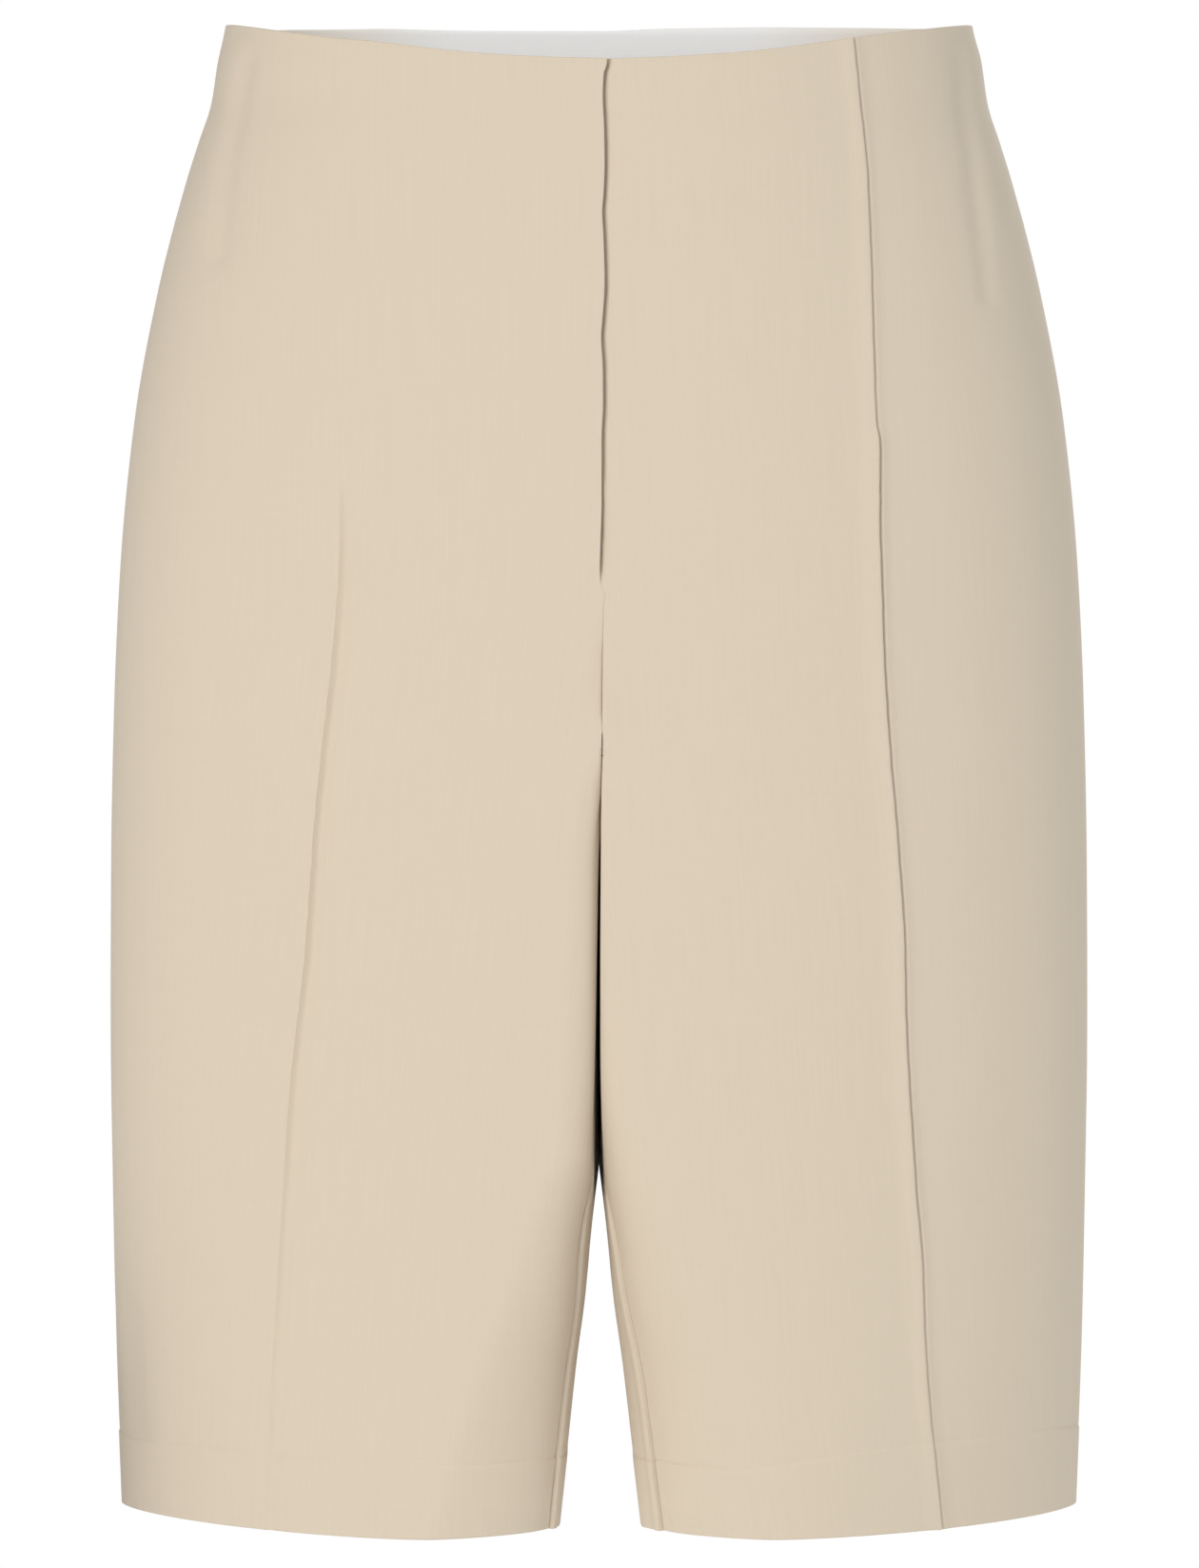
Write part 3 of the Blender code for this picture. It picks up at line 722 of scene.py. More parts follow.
# cloth from the side seam, and the hem's stitched line there
HEM_LINE = {
    "right": ((0, 538.6), (18, 539.6), (60, 537.8), (110, 538.4), (150, 538.6), (180, 539.8)),
    "left": ((0, 537.4), (15, 535.6), (40, 534.2), (80, 533.8), (130, 535.8), (165, 540.6)),
}
HEM_STEP_HIGH, HEM_STEP = 0.3, (-0.6, 0.6)
HEM_GROOVE, GROOVE_AT_SEAMS, SEAMS_REACH, GROOVE_HALF = 0.16, 0.26, 26.0, 0.45
DIMPLE_DEEP, DIMPLE_STEP, DIMPLE_HALF, DIMPLE_FLATTER = 0.18, 8.5, 1.1, 0.8
DIMPLES_FROM = (6, 10)  # from a seam
LIFT_HIGH, LIFT_RAMP = 0.6, (-26.0, -9.0)
DIP_DEEP, DIP_FULL, DIP_END = 1.7, 0.9, 2.6  # past the edge of the right front
LAP_FULL, LAP_FADED = 200.0, 212.0  # between these drops the lap closes into the seam
hem_line = {side: curve(rows) for side, rows in HEM_LINE.items()}


def roll(away, radius):
    """How far a rolled edge has turned in, at a distance from it."""
    t = np.clip(radius - away, 0, radius)
    return radius - np.sqrt(radius**2 - t**2)


def seam_heights(made):
    """Heights of the outer skin alone, which the inner skin does not follow."""
    panel, side, drop = made["panel"], made["side"], made["drop"]
    level = np.repeat(ROWS[:, None], drop.shape[1], axis=1)
    height = -roll(made["length"], ROLL)
    if panel == "front":
        hidden = ramp(drop, *RISE_UNDER) * (1 - ramp(drop, *RISE_SHOWS))
        radius = RISE_ROLL + (RISE_ROLL_LOW - RISE_ROLL) * ramp(drop, LAP_FADED, RISE_ROLL_FULL)
        height -= roll(made["to_end"], radius) * (1 - hidden)
    else:
        height -= roll(made["to_end"], ROLL)
    height -= roll(level, EDGE_ROLL) + roll(OUTSEAM - level, EDGE_ROLL)
    if panel == "back":
        there = ramp(made["to_end"], *RIDGE_RISES) * (1 - ramp(made["to_end"], *RIDGE_FALLS))
        height += RIDGE_HIGH * there * ramp(drop, *RIDGE_DROPS)
    turned_up = drop - hem_line[side](made["length"])
    from_seam = np.minimum(made["length"], made["to_end"])
    groove = HEM_GROOVE + GROOVE_AT_SEAMS * np.exp(-((from_seam / SEAMS_REACH) ** 2))
    height += HEM_STEP_HIGH * ramp(turned_up, *HEM_STEP)
    height -= groove * np.exp(-((turned_up / GROOVE_HALF) ** 2))
    beat = made["length"] / DIMPLE_STEP
    beat = (beat - np.round(beat)) * DIMPLE_STEP
    dimple = np.exp(-(beat**2 + (turned_up / DIMPLE_FLATTER) ** 2) / (2 * DIMPLE_HALF**2))
    dimple *= ramp(made["length"], *DIMPLES_FROM) * ramp(made["to_end"], *DIMPLES_FROM)
    height -= DIMPLE_DEEP * dimple
    return height


def inseam_hollow(made):
    """Both skins' hollow along the inseam."""
    there = ramp(made["drop"], *RIDGE_DROPS)
    return -VALLEY_DEEP * there * np.exp(-((made["to_end"] / VALLEY_HALF) ** 2))


def tuck_hollow(made):
    """Both skins' narrow hollow inwards of the tuck's lip."""
    if made["panel"] == "back":
        return 0.0
    side, drop = made["side"], made["drop"]
    from_edge = lip_x(drop, side) - np.abs(made["lying"][..., 0])
    share = (from_edge - SUNK_AT) / SUNK_HALF
    share = np.where(share > 0, share * SUNK_SLOWER, share)
    return -SUNK_DEEP[side] * ease(fold_open[side](drop)) * np.exp(-(share**2))


def fly_heights(made):
    """Both skins' height at the fly, which changes where one front laps over the other."""
    if made["panel"] == "back":
        return 0.0
    x, drop = made["lying"][..., 0], made["drop"]
    closed = ramp(drop, LAP_FADED, LAP_FULL)
    if made["side"] == "right":
        return LIFT_HIGH * closed * ramp(x, *LIFT_RAMP)
    return -DIP_DEEP * closed * ramp(x - lean(drop) - wander(drop), DIP_END, DIP_FULL)


def fold_heights(made):
    """The outer skin's height at the tuck's fold."""
    drop = made["drop"]
    height = np.zeros_like(drop)
    if made["panel"] == "front":
        columns = slice(FOLD_START, FOLD_START + len(fold))
        profile = fold[:, FOLD_HEIGHT[made["side"]]]
        height[:, columns] = profile * fold_open[made["side"]](drop[:, columns])
    return height


for made in plain.values():
    both = made["marks"] + fly_heights(made) + inseam_hollow(made) + tuck_hollow(made)
    seams = seam_heights(made)
    own = seams + fold_heights(made)
    made["outer"] = made["seen"] + made["out"] * (both + own)[..., None]
    depth = np.maximum(WALL, LEAST_WALL - seams) - both
    made["base"] = made["lying"] + made["out_lying"] * both[..., None]
    made["inner"] = made["lying"] - made["out_lying"] * depth[..., None]
print("heights set on", len(plain), "panels")

# %% [markdown]
# A closed wall is made from two grids of the same size: both skins, and a strip of faces round their edges.
# Each corner of a face also keeps the cloth's own coordinates, across and down in metres from the tuck or
# the middle, so that the weave runs with the cloth and doubles back with the fold.

# %% Walls from grids
CLOTH_SHARP = 50.0  # degrees


def grid_faces(rows, columns, closed=False):
    """The quads of a grid of points."""
    spans = columns if closed else columns - 1
    row, column = np.meshgrid(np.arange(rows - 1), np.arange(spans), indexing="ij")
    a, b = row * columns + column, row * columns + (column + 1) % columns
    return np.stack([a, b, b + columns, a + columns], axis=-1).reshape(-1, 4)


def wall_faces(rows, columns, closed=False):
    """The quads of a wall between two grids, the first of which faces out."""
    count = rows * columns
    faces = [grid_faces(rows, columns, closed), count + grid_faces(rows, columns, closed)[:, ::-1]]
    top = np.arange(columns)
    bottom = (rows - 1) * columns + top
    if closed:
        loops = [np.append(top, top[0]), np.append(bottom, bottom[0])[::-1]]
    else:
        left, right = np.arange(rows) * columns, np.arange(rows) * columns + columns - 1
        loops = [np.concatenate([top, right[1:], bottom[-2::-1], left[-2::-1]])]
    for loop in loops:
        a, b = loop[:-1], loop[1:]
        faces.append(np.stack([b, a, a + count, b + count], axis=-1))
    return np.concatenate(faces)


def volume_of(points, faces):
    """Six times the volume that the faces close off; its sign tells which way they point."""
    a, b, c, d = (points[faces[:, i]] for i in range(4))
    return float((np.cross(a, b) * c).sum() + (np.cross(a, c) * d).sum())


def finished(name, mesh, sharp=None):
    """A piece of the garment, smooth but for edges that turn by more than this many degrees."""
    mesh.shade_smooth()
    if sharp:
        mesh.set_sharp_from_angle(angle=math.radians(sharp))
    made = add_object(name, mesh)
    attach(made, "root")
    return made


def add_piece(name, walls, finish):
    """One piece from closed walls: (outer grid, inner grid, cloth coordinates or None, closed round)."""
    points, faces, cloth, first = [], [], [], 0
    for outer, inner, coordinates, closed in walls:
        rows, columns = outer.shape[:2]
        both = np.concatenate([outer.reshape(-1, 3), inner.reshape(-1, 3)])
        quads = wall_faces(rows, columns, closed)
        if volume_of(both, quads) < 0:
            quads = quads[:, ::-1]
        points.append(both)
        faces.append(quads + first)
        if coordinates is None:
            coordinates = both[: rows * columns, [0, 2]].reshape(rows, columns, 2)
        cloth.append(np.tile(coordinates.reshape(-1, 2), (2, 1)))
        first += len(both)
    points, faces, cloth = np.concatenate(points), np.concatenate(faces), np.concatenate(cloth)
    mesh = bpy.data.meshes.new(name)
    mesh.from_pydata((points * MM).tolist(), [], faces.tolist())
    layer = mesh.uv_layers.new(name="cloth")
    layer.data.foreach_set("uv", (cloth[faces.reshape(-1)] * MM).reshape(-1))
    mesh.materials.append(finish)
    return finished(name, mesh, CLOTH_SHARP)


print("a 3 by 2 grid has", len(grid_faces(3, 2)), "quads and its wall", len(wall_faces(3, 2)))

# %% [markdown]
# Suiting is a smooth, closely woven worsted: matt, with a faint bloom of fibre at grazing angles. Its
# threads are a third of a millimetre apart, too fine to show, so the weave is drawn at about twice that.
# Uneven yarn leaves faint lines a few centimetres long, most of them along the warp, which tell the eye that
# it is woven. All patterns read the cloth's own coordinates, in metres.

# %% Suiting
THREADS = 0.0016  # two threads of the drawn weave, in metres
WAVE_PERIOD = 2 * math.pi / 20  # what a wave texture of scale 1 repeats over
SIDE_SHADE_FROM, SIDE_SHADE_FULL = 60.0, 118.0  # where the painted shade at the body's sides starts and is full, from the middle
WARP_LINES, WEFT_LINES = (900, 22), (26, 1100)  # uneven yarns a metre, across and down
WARP_SHARE = 0.7
YARN_LIGHT, YARN_DARK = 0.3, 0.7  # the noise's values for the two colours
YARN_HIGH = 0.5  # against the weave


def cloth_place(tree, across, down):
    """The cloth's coordinates, times these."""
    cloth = node(tree, "ShaderNodeUVMap", {"uv_map": "cloth"})
    times = {"Vector": cloth.outputs[0], "Scale": (across, down, 1)}
    return node(tree, "ShaderNodeMapping", {"vector_type": "POINT"}, **times).outputs[0]


def maths(tree, operation, first, second):
    """One sum of two values or sockets."""
    return node(tree, "ShaderNodeMath", {"operation": operation}, i0=first, i1=second).outputs[0]


def noise(tree, place):
    """An even, slightly rough noise over a scaled place."""
    settings = {"noise_dimensions": "2D"}
    return node(tree, "ShaderNodeTexNoise", settings, Vector=place, Scale=1.0, Detail=2.0).outputs["Fac"]


def blend(tree, share, first, second):
    """A colour between two hex colours or sockets."""
    return node(tree, "ShaderNodeMix", {"data_type": "RGBA"}, i0=share, i6=first, i7=second).outputs[2]


def woven(name, light, dark, roughness, sheen, threads, weave_high, sides=None):
    """A plain-woven cloth of two colours of yarn, with a painted warm shade toward the body's sides if
    given.
    """
    material, tree = new_material(name)
    flat = cloth_place(tree, 1, 1)
    waves = []
    for direction in ("X", "Y"):
        settings = {"wave_type": "BANDS", "bands_direction": direction}
        waves.append(node(tree, "ShaderNodeTexWave", settings, Vector=flat, Scale=WAVE_PERIOD / threads))
    weave = maths(tree, "MULTIPLY", waves[0].outputs["Fac"], waves[1].outputs["Fac"])
    warp = maths(tree, "MULTIPLY", noise(tree, cloth_place(tree, *WARP_LINES)), WARP_SHARE)
    weft = maths(tree, "MULTIPLY", noise(tree, cloth_place(tree, *WEFT_LINES)), 1 - WARP_SHARE)
    yarn = maths(tree, "ADD", warp, weft)
    share = node(tree, "ShaderNodeMapRange", i0=yarn, i1=YARN_LIGHT, i2=YARN_DARK).outputs[0]
    height = maths(tree, "ADD", weave, maths(tree, "MULTIPLY", yarn, YARN_HIGH))
    bump = node(tree, "ShaderNodeBump", Height=height, Strength=0.25, Distance=weave_high * MM)
    colour = blend(tree, share, light, dark)
    # painted shade: toward the body's sides the colour turns to a warmer, darker one
    if sides:
        place = node(tree, "ShaderNodeTexCoord").outputs["Object"]
        across = node(tree, "ShaderNodeSeparateXYZ", Vector=place).outputs["X"]
        away = maths(tree, "ABSOLUTE", across, 0)
        side_shade_share = node(tree, "ShaderNodeMapRange", i0=away, i1=SIDE_SHADE_FROM * MM, i2=SIDE_SHADE_FULL * MM)
        colour = blend(tree, side_shade_share.outputs[0], colour, sides)
    # rough fibre has no gloss of its own, and its bloom shows only at grazing angles
    surface(
        tree,
        Base_Color=colour,
        Normal=bump.outputs[0],
        Roughness=roughness,
        Sheen_Weight=sheen,
        Sheen_Roughness=0.5,
        Specular_IOR_Level=0.25,
    )
    return material


suiting = woven("worsted_suiting_beige", "d1c2ad", "cfc0ab", 0.85, 0.12, THREADS, 0.045)
print("suiting nodes:", len(suiting.node_tree.nodes))

# %% [markdown]
# The facing inside the back waist is a lighter, cooler cloth with a tighter weave and a slight gloss, as
# cotton facing has after pressing. Toward the body's sides it is painted warmer and darker: painted shade.
# Sewing thread is close to the suiting's colour, painted a little lighter: a painted highlight for the light
# its twist catches.

# %% Facing and thread
# the last colour is painted warm shade toward the body's sides
facing_cloth = woven("cotton_facing_pale_painted_side_shade", "fbfbfb", "fafafb", 0.7, 0.05, 0.0012, 0.012, "eee6da")
# the thread's lighter colours are a painted highlight for the light on its twist
thread = woven("sewing_thread_beige", "dacdb9", "d0c2ad", 0.7, 0.1, 0.0006, 0.05)

# %% [markdown]
# Hooks, bars and zips in tailoring are stamped or drawn from wire and plated with nickel: a warm grey metal
# with a soft gloss. Plating wears dull in small patches, which a fine noise puts into the roughness.

# %% Plated nickel
nickel, tree = new_material("nickel_plated_brass")
place = node(tree, "ShaderNodeTexCoord").outputs["Object"]
dull = node(tree, "ShaderNodeTexNoise", Vector=place, Scale=900.0, Detail=3.0).outputs["Fac"]
rough = node(tree, "ShaderNodeMapRange", i0=dull, i3=0.22, i4=0.42).outputs[0]
scratched = node(tree, "ShaderNodeBump", Height=dull, Strength=0.15, Distance=0.05 * MM).outputs[0]
surface(tree, Base_Color="cbc7bf", Metallic=1.0, Roughness=rough, Normal=scratched)
print("materials:", [m.name for m in (suiting, facing_cloth, thread, nickel)])

# %% [markdown]
# Inside every seam the cloth goes on for about a centimetre and is pressed open. These allowances stop light
# from showing through the seam, and they are what one sees when looking into a leg. The right panel's, or
# the front's, reaches just past the seam line, and the other one starts just short of it.

# %% Seam allowances
ALLOWANCE = 11.0
ALLOWANCE_STOPS = (0.0, 0.7, 1.6, 3.0, 5.0, 8.0, ALLOWANCE)
ALLOWANCE_THICK = 0.4
PAST, SHORT = -0.5, 0.6  # where the two allowances start, from the seam line
UNDER_PANEL = 0.12


def read_row(made, row, lengths):
    """Points of the plain skin and directions at lengths from the side seam, along one row."""
    known = made["length"][row]
    points = np.column_stack([np.interp(lengths, known, made["base"][row, :, axis]) for axis in range(3)])
    out = np.column_stack([np.interp(lengths, known, made["out_lying"][row, :, axis]) for axis in range(3)])
    beyond = np.minimum(lengths - known[0], 0)[:, None] + np.maximum(lengths - known[-1], 0)[:, None]
    along = made["base"][row, 1] - made["base"][row, 0]
    if lengths.max() > known[-1]:
        along = made["base"][row, -1] - made["base"][row, -2]
    return points + beyond * along / np.linalg.norm(along), out


def allowance(made, edge, start, first, last):
    """A strip inside the panel along one edge, between two drops, as a wall for add_piece."""
    fore, aft, cloth = [], [], []
    for row in np.flatnonzero((ROWS >= first) & (ROWS <= last)):
        lengths = start + np.array(ALLOWANCE_STOPS)
        if edge == "inner":
            lengths = made["length"][row, -1] + made["to_end"][row, -1] - lengths[::-1]
        points, out = read_row(made, row, lengths)
        fore.append(points - out * (WALL + UNDER_PANEL))
        aft.append(points - out * (WALL + UNDER_PANEL + ALLOWANCE_THICK))
        cloth.append(np.column_stack([lengths, points[:, 2]]))
    return np.array(fore), np.array(aft), np.array(cloth), False


# they keep clear of the turn-up, the facing, the fly and the place where four of them meet
ABOVE_HEM, BELOW_FACING, MEET_CLEAR = OUTSEAM - HEM_DEPTH - 2, FACING_DEPTH + 1.5, 3
RISE_STOP = CROTCH_DROP - MEET_CLEAR
SIDE_ROWS = {"front": (1.0, ABOVE_HEM), "back": (BELOW_FACING, ABOVE_HEM)}
RISE_ROWS = {"front": (LAP_FADED + MEET_CLEAR, RISE_STOP), "back": (BELOW_FACING, RISE_STOP)}
INSEAM_ROWS = (CROTCH_DROP + MEET_CLEAR, ABOVE_HEM)


def allowances(made):
    """The strips along a panel's side seam, its middle seam and its inseam."""
    panel, side = made["panel"], made["side"]
    first = PAST if panel == "front" else SHORT
    return [
        allowance(made, "side", first, *SIDE_ROWS[panel]),
        allowance(made, "inner", PAST if side == "right" else SHORT, *RISE_ROWS[panel]),
        allowance(made, "inner", first, *INSEAM_ROWS),
    ]


strip = allowance(plain["front", "right"], "side", PAST, *SIDE_ROWS["front"])[0]
print("a side allowance:", strip.shape[0], "rows of", strip.shape[1], "points")

# %% [markdown]
# Now the four panels can be made. Each one stands for its solid in the frame, and a front also for the strip
# of its tuck. The grain line, along which the warp runs, is the line of the tuck, in front and behind.

# %% The four cloth panels
def cloth_coordinates(made):
    """Across from the grain line and down, in mm."""
    lines = []
    for row in range(len(ROWS)):
        level = float(made["drop"][row].mean())
        width = tuck_x[made["side"]](level)
        lines.append(np.interp(-width, -np.abs(made["lying"][row, :, 0]), made["length"][row]))
    return np.stack([made["length"] - np.array(lines)[:, None], made["drop"]], axis=-1)


def cloth_area(grid):
    """The area of a grid of points, in square metres."""
    a, b = np.diff(grid, axis=0)[:, :-1], np.diff(grid, axis=1)[:-1]
    return float(np.linalg.norm(np.cross(a, b), axis=-1).sum()) * MM * MM


for (panel, side), made in plain.items():
    made["cloth"] = cloth_coordinates(made)
    walls = [(made["outer"], made["inner"], made["cloth"], False)] + allowances(made)
    piece = add_piece(f"cloth_{panel}_{side}", walls, suiting)
    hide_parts(f"{panel}_{side}", *([f"tuck_{side}"] if panel == "front" else []))
    strips = sum(cloth_area(wall[0]) for wall in walls[1:])
    print(piece.name, "cloth", round(cloth_area(made["outer"]), 4), "and allowances", round(strips, 4), "m2")

# %% [markdown]
# A leg ends in a turned-up hem: the cloth folds inwards and lies against the leg for three centimetres, held
# by the blind stitches. It is a ring of its own here, just inside the leg, so the fold's lower edge stays
# crisp and looks right from below. The facing inside the back waist is made the same way from side seam to
# side seam, and its lower edge ends in a small step where it was overlocked and pressed.

# %% Turn-ups and back facing
INSIDE_CLEAR = 0.3
TURNUP_THICK, FACING_THICK = 0.8, 0.8
TURNUP_SHORT, FACING_SHORT = 0.5, 0.1  # how far they stop short of the folded edges


def inside(made, rows, columns, deep):
    """A skin inside a panel, this deep below its plain outer skin."""
    grid = made["base"][rows][:, columns] - made["out_lying"][rows][:, columns] * deep
    return grid, made["cloth"][rows][:, columns]


def lining_wall(first, second, rows, thick, closed, columns=slice(None)):
    """A wall inside two neighbouring panels: the second one's columns run back the other way."""
    skins = []
    for deep in (WALL + INSIDE_CLEAR, WALL + INSIDE_CLEAR + thick):
        a, cloth_a = inside(first, rows, columns, deep)
        b, cloth_b = inside(second, rows, columns, deep)
        skins.append(np.concatenate([a, b[:, ::-1]], axis=1))
    cloth = np.concatenate([cloth_a, cloth_b[:, ::-1]], axis=1)
    return skins[0], skins[1], cloth, closed


turned = np.flatnonzero((ROWS >= OUTSEAM - HEM_DEPTH) & (ROWS <= OUTSEAM - TURNUP_SHORT))
for side in SIDES:
    wall = lining_wall(plain["front", side], plain["back", side], turned, TURNUP_THICK, True)
    turnup = add_piece(f"turnup_{side}", [wall], suiting)
    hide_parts(f"hem_{side}")
    print(turnup.name, round(cloth_area(wall[0]), 4), "m2")

faced = np.flatnonzero((ROWS >= FACING_SHORT) & (ROWS <= FACING_DEPTH))
inner_columns = slice(5, None)  # the first columns crowd at the side seam
wall = lining_wall(plain["back", "right"], plain["back", "left"], faced, FACING_THICK, False, inner_columns)
facing = add_piece("facing_back", [wall], facing_cloth)
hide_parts("back_facing")
print("facing", round(cloth_area(wall[0]), 4), "m2")

# %% [markdown]
# Behind the fly lies a guard, a narrow doubled strip sewn to the left front, which keeps the zip off the
# skin. It is set behind the left front at its seam, and further back where the zip's tape needs room. All
# fly pieces hang in flat steps behind the front, so they are placed by x, by drop and by how deep they lie.

# %% Fly guard and zip tape
GUARD = ((12, 1.9), (8, 2.1), (5, 2.9), (1, 3.3), (-4, 3.7), (-9, 4.6), (-25, 4.6), (-42, 4.6))
GUARD_TOP, GUARD_THICK = 16.4, 0.9
GUARD_ROLL = 0.35
TAPE_X, TAPE_TOP, TAPE_THICK, ON_GUARD = (-19.0, -10.0), 31.6, 0.5, 4.3
TEETH_X = -14.5
STRIP_STOPS = (0.08, 0.2, 0.4)  # from each edge of a strip
ACROSS_GUARD, ACROSS_TAPE, STRIP_STEP = 1.2, 1.0, 3.0  # between points across and down
INNER_ROLL = 0.6  # how much of the outer face's roll the inner one has


def front_point(x, drop, deep):
    """A point behind the left front's plain skin, which the right side mirrors."""
    line, _, _ = panel_line(min(max(drop, 0.0), OUTSEAM), "front", "left")
    return float(x), float(np.interp(abs(x), line[::-1, 0], line[::-1, 1])) + deep, -drop


def strip_behind(across, drops, thick, rounded=0.0):
    """A strip behind the fronts, as a wall: across gives x and depth of the face that looks out."""
    fore, aft = [], []
    for drop in drops:
        for x, deep in across:
            near = min(abs(x - across[0][0]), abs(x - across[-1][0]))
            turn = float(roll(near, rounded))
            fore.append(front_point(x, drop, deep + turn))
            aft.append(front_point(x, drop, deep + thick - turn * INNER_ROLL))
    shape = (len(drops), len(across), 3)
    return np.reshape(fore, shape), np.reshape(aft, shape), None, False


def finer(across, step):
    """The same line of (x, depth), with points at most a step apart and crowded at its ends."""
    xs, deeps = np.array(across).T
    stops = np.linspace(xs[0], xs[-1], int(abs(xs[-1] - xs[0]) / step) + 1)
    toward = np.sign(xs[-1] - xs[0])
    ends = toward * np.array(STRIP_STOPS)
    stops = [stops[0], *(stops[0] + ends), *stops[1:-1], *(stops[-1] - ends[::-1]), stops[-1]]
    return [(x, float(np.interp(x * toward, xs * toward, deeps))) for x in stops]


guard_drops = np.arange(GUARD_TOP, FLY_END, STRIP_STEP)
guard_wall = strip_behind(finer(GUARD, ACROSS_GUARD), guard_drops, GUARD_THICK, GUARD_ROLL)
guard = add_piece("guard_fly", [guard_wall], suiting)
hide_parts("fly_guard")
tape_deep = ON_GUARD - TAPE_THICK
tape_across = finer([(x, tape_deep) for x in TAPE_X], ACROSS_TAPE)
tape_wall = strip_behind(tape_across, np.arange(TAPE_TOP, FLY_END, STRIP_STEP), TAPE_THICK)
tape = add_piece("zip_tape", [tape_wall], facing_cloth)
print("guard and tape:", len(guard.data.polygons), len(tape.data.polygons), "faces")

# %% [markdown]
# Zip teeth and stitches repeat along a line, which is what Geometry Nodes do well: a curve is cut into even
# steps, a small shape is set on each step and turned along the curve, and the result is made real mesh. One
# tree serves both, with inputs for the step and the size of one unit. A fixed seed makes stitches uneven.

# %% A tree that sets small shapes along a line
def along_tree():
    """Geometry nodes: a line in, small bars along it out."""
    tree = bpy.data.node_groups.new("bars_along_a_line", "GeometryNodeTree")
    kinds = {"Geometry": "Geometry", "Step": "Float", "Length": "Float", "Thickness": "Float"}
    kinds.update({"Unevenness": "Float", "Seed": "Int", "Finish": "Material"})
    for name, kind in kinds.items():
        tree.interface.new_socket(name, in_out="INPUT", socket_type="NodeSocket" + kind)
    tree.interface.new_socket("Geometry", in_out="OUTPUT", socket_type="NodeSocketGeometry")
    given = tree.nodes.new("NodeGroupInput").outputs
    line = node(tree, "GeometryNodeMeshToCurve", Mesh=given["Geometry"]).outputs[0]
    steps = node(tree, "GeometryNodeCurveToPoints", {"mode": "LENGTH"}, Curve=line, Length=given["Step"])
    bar = node(tree, "GeometryNodeMeshIcoSphere", Radius=0.5, Subdivisions=1)
    least, most = (maths(tree, way, 1.0, given["Unevenness"]) for way in ("SUBTRACT", "ADD"))
    settings = {"data_type": "FLOAT"}
    varied = node(tree, "FunctionNodeRandomValue", settings, i2=least, i3=most, Seed=given["Seed"])
    length = maths(tree, "MULTIPLY", given["Length"], varied.outputs[1])
    size = node(tree, "ShaderNodeCombineXYZ", X=given["Thickness"], Y=given["Thickness"], Z=length)
    placed = node(
        tree,
        "GeometryNodeInstanceOnPoints",
        Points=steps.outputs["Points"],
        Instance=bar.outputs["Mesh"],
        Rotation=steps.outputs["Rotation"],
        Scale=size.outputs[0],
    )
    real = node(tree, "GeometryNodeRealizeInstances", Geometry=placed.outputs[0]).outputs[0]
    result = node(tree, "GeometryNodeSetMaterial", Geometry=real, Material=given["Finish"]).outputs[0]
    node(tree, "NodeGroupOutput", i0=result)
    return tree


def baked(holder, centre=(0, 0, 0)):
    """An object's finished mesh, moved to its place, without the object and its modifiers."""
    bpy.context.view_layer.update()
    seen = holder.evaluated_get(bpy.context.evaluated_depsgraph_get())
    mesh = bpy.data.meshes.new_from_object(seen)
    bpy.data.objects.remove(holder, do_unlink=True)
    mesh.transform(Matrix.Translation(Vector(centre) * MM))
    return mesh


ALONG = along_tree()


def add_along(name, lines, step, length, thickness, unevenness, seed, finish, slot):
    """Bars along lines of points in mm, as a plain mesh piece."""
    points, edges = [], []
    for line in lines:
        edges += [(len(points) + i, len(points) + i + 1) for i in range(len(line) - 1)]
        points += [tuple(c * MM for c in point) for point in line]
    mesh = bpy.data.meshes.new(name + "_line")
    mesh.from_pydata(points, edges, [])
    holder = add_object(name + "_line", mesh)
    modifier = holder.modifiers.new("along", "NODES")
    modifier.node_group = ALONG
    values = {"Step": step * MM, "Length": length * MM, "Thickness": thickness * MM}
    values.update({"Unevenness": unevenness, "Seed": seed, "Finish": finish})
    for item in ALONG.interface.items_tree:
        if item.in_out == "INPUT" and item.name in values:
            modifier[item.identifier] = values[item.name]
    mesh = baked(holder)
    mesh.name = name
    return finished(name, mesh)


TOOTH_STEP, TOOTH_SIZE, TOOTH_WIDE, TOOTH_HIGH = 1.5, 0.9, 1.1, 0.35
TEETH_DROPS, TEETH_POINTS = (TAPE_TOP + 0.5, FLY_END - 2), 2.0  # their line, and the step of its points
tooth_lines = []
for shift, late in ((-TOOTH_WIDE / 2, 0.0), (TOOTH_WIDE / 2, TOOTH_STEP / 2)):
    drops = np.arange(TEETH_DROPS[0] + late, TEETH_DROPS[1], TEETH_POINTS)
    tooth_lines.append([front_point(TEETH_X + shift, drop, tape_deep - TOOTH_HIGH) for drop in drops])
teeth = add_along("zip_teeth", tooth_lines, TOOTH_STEP, TOOTH_SIZE, TOOTH_WIDE, 0.0, 1, nickel, "nickel")
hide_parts("fly_zip")
print("teeth:", len(teeth.data.polygons), "faces")

# %% [markdown]
# The slider is a stamped body with two wings over the teeth, a bridge on top and a small tongue that hangs
# from it. The hook is a flat plate whose end turns back on itself, and the bar is a bent wire whose feet are
# clamped to the guard. Each one is a few rounded blocks and a bent wire.

# %% Slider, hook and bar
METAL_SHARP = 40.0  # degrees


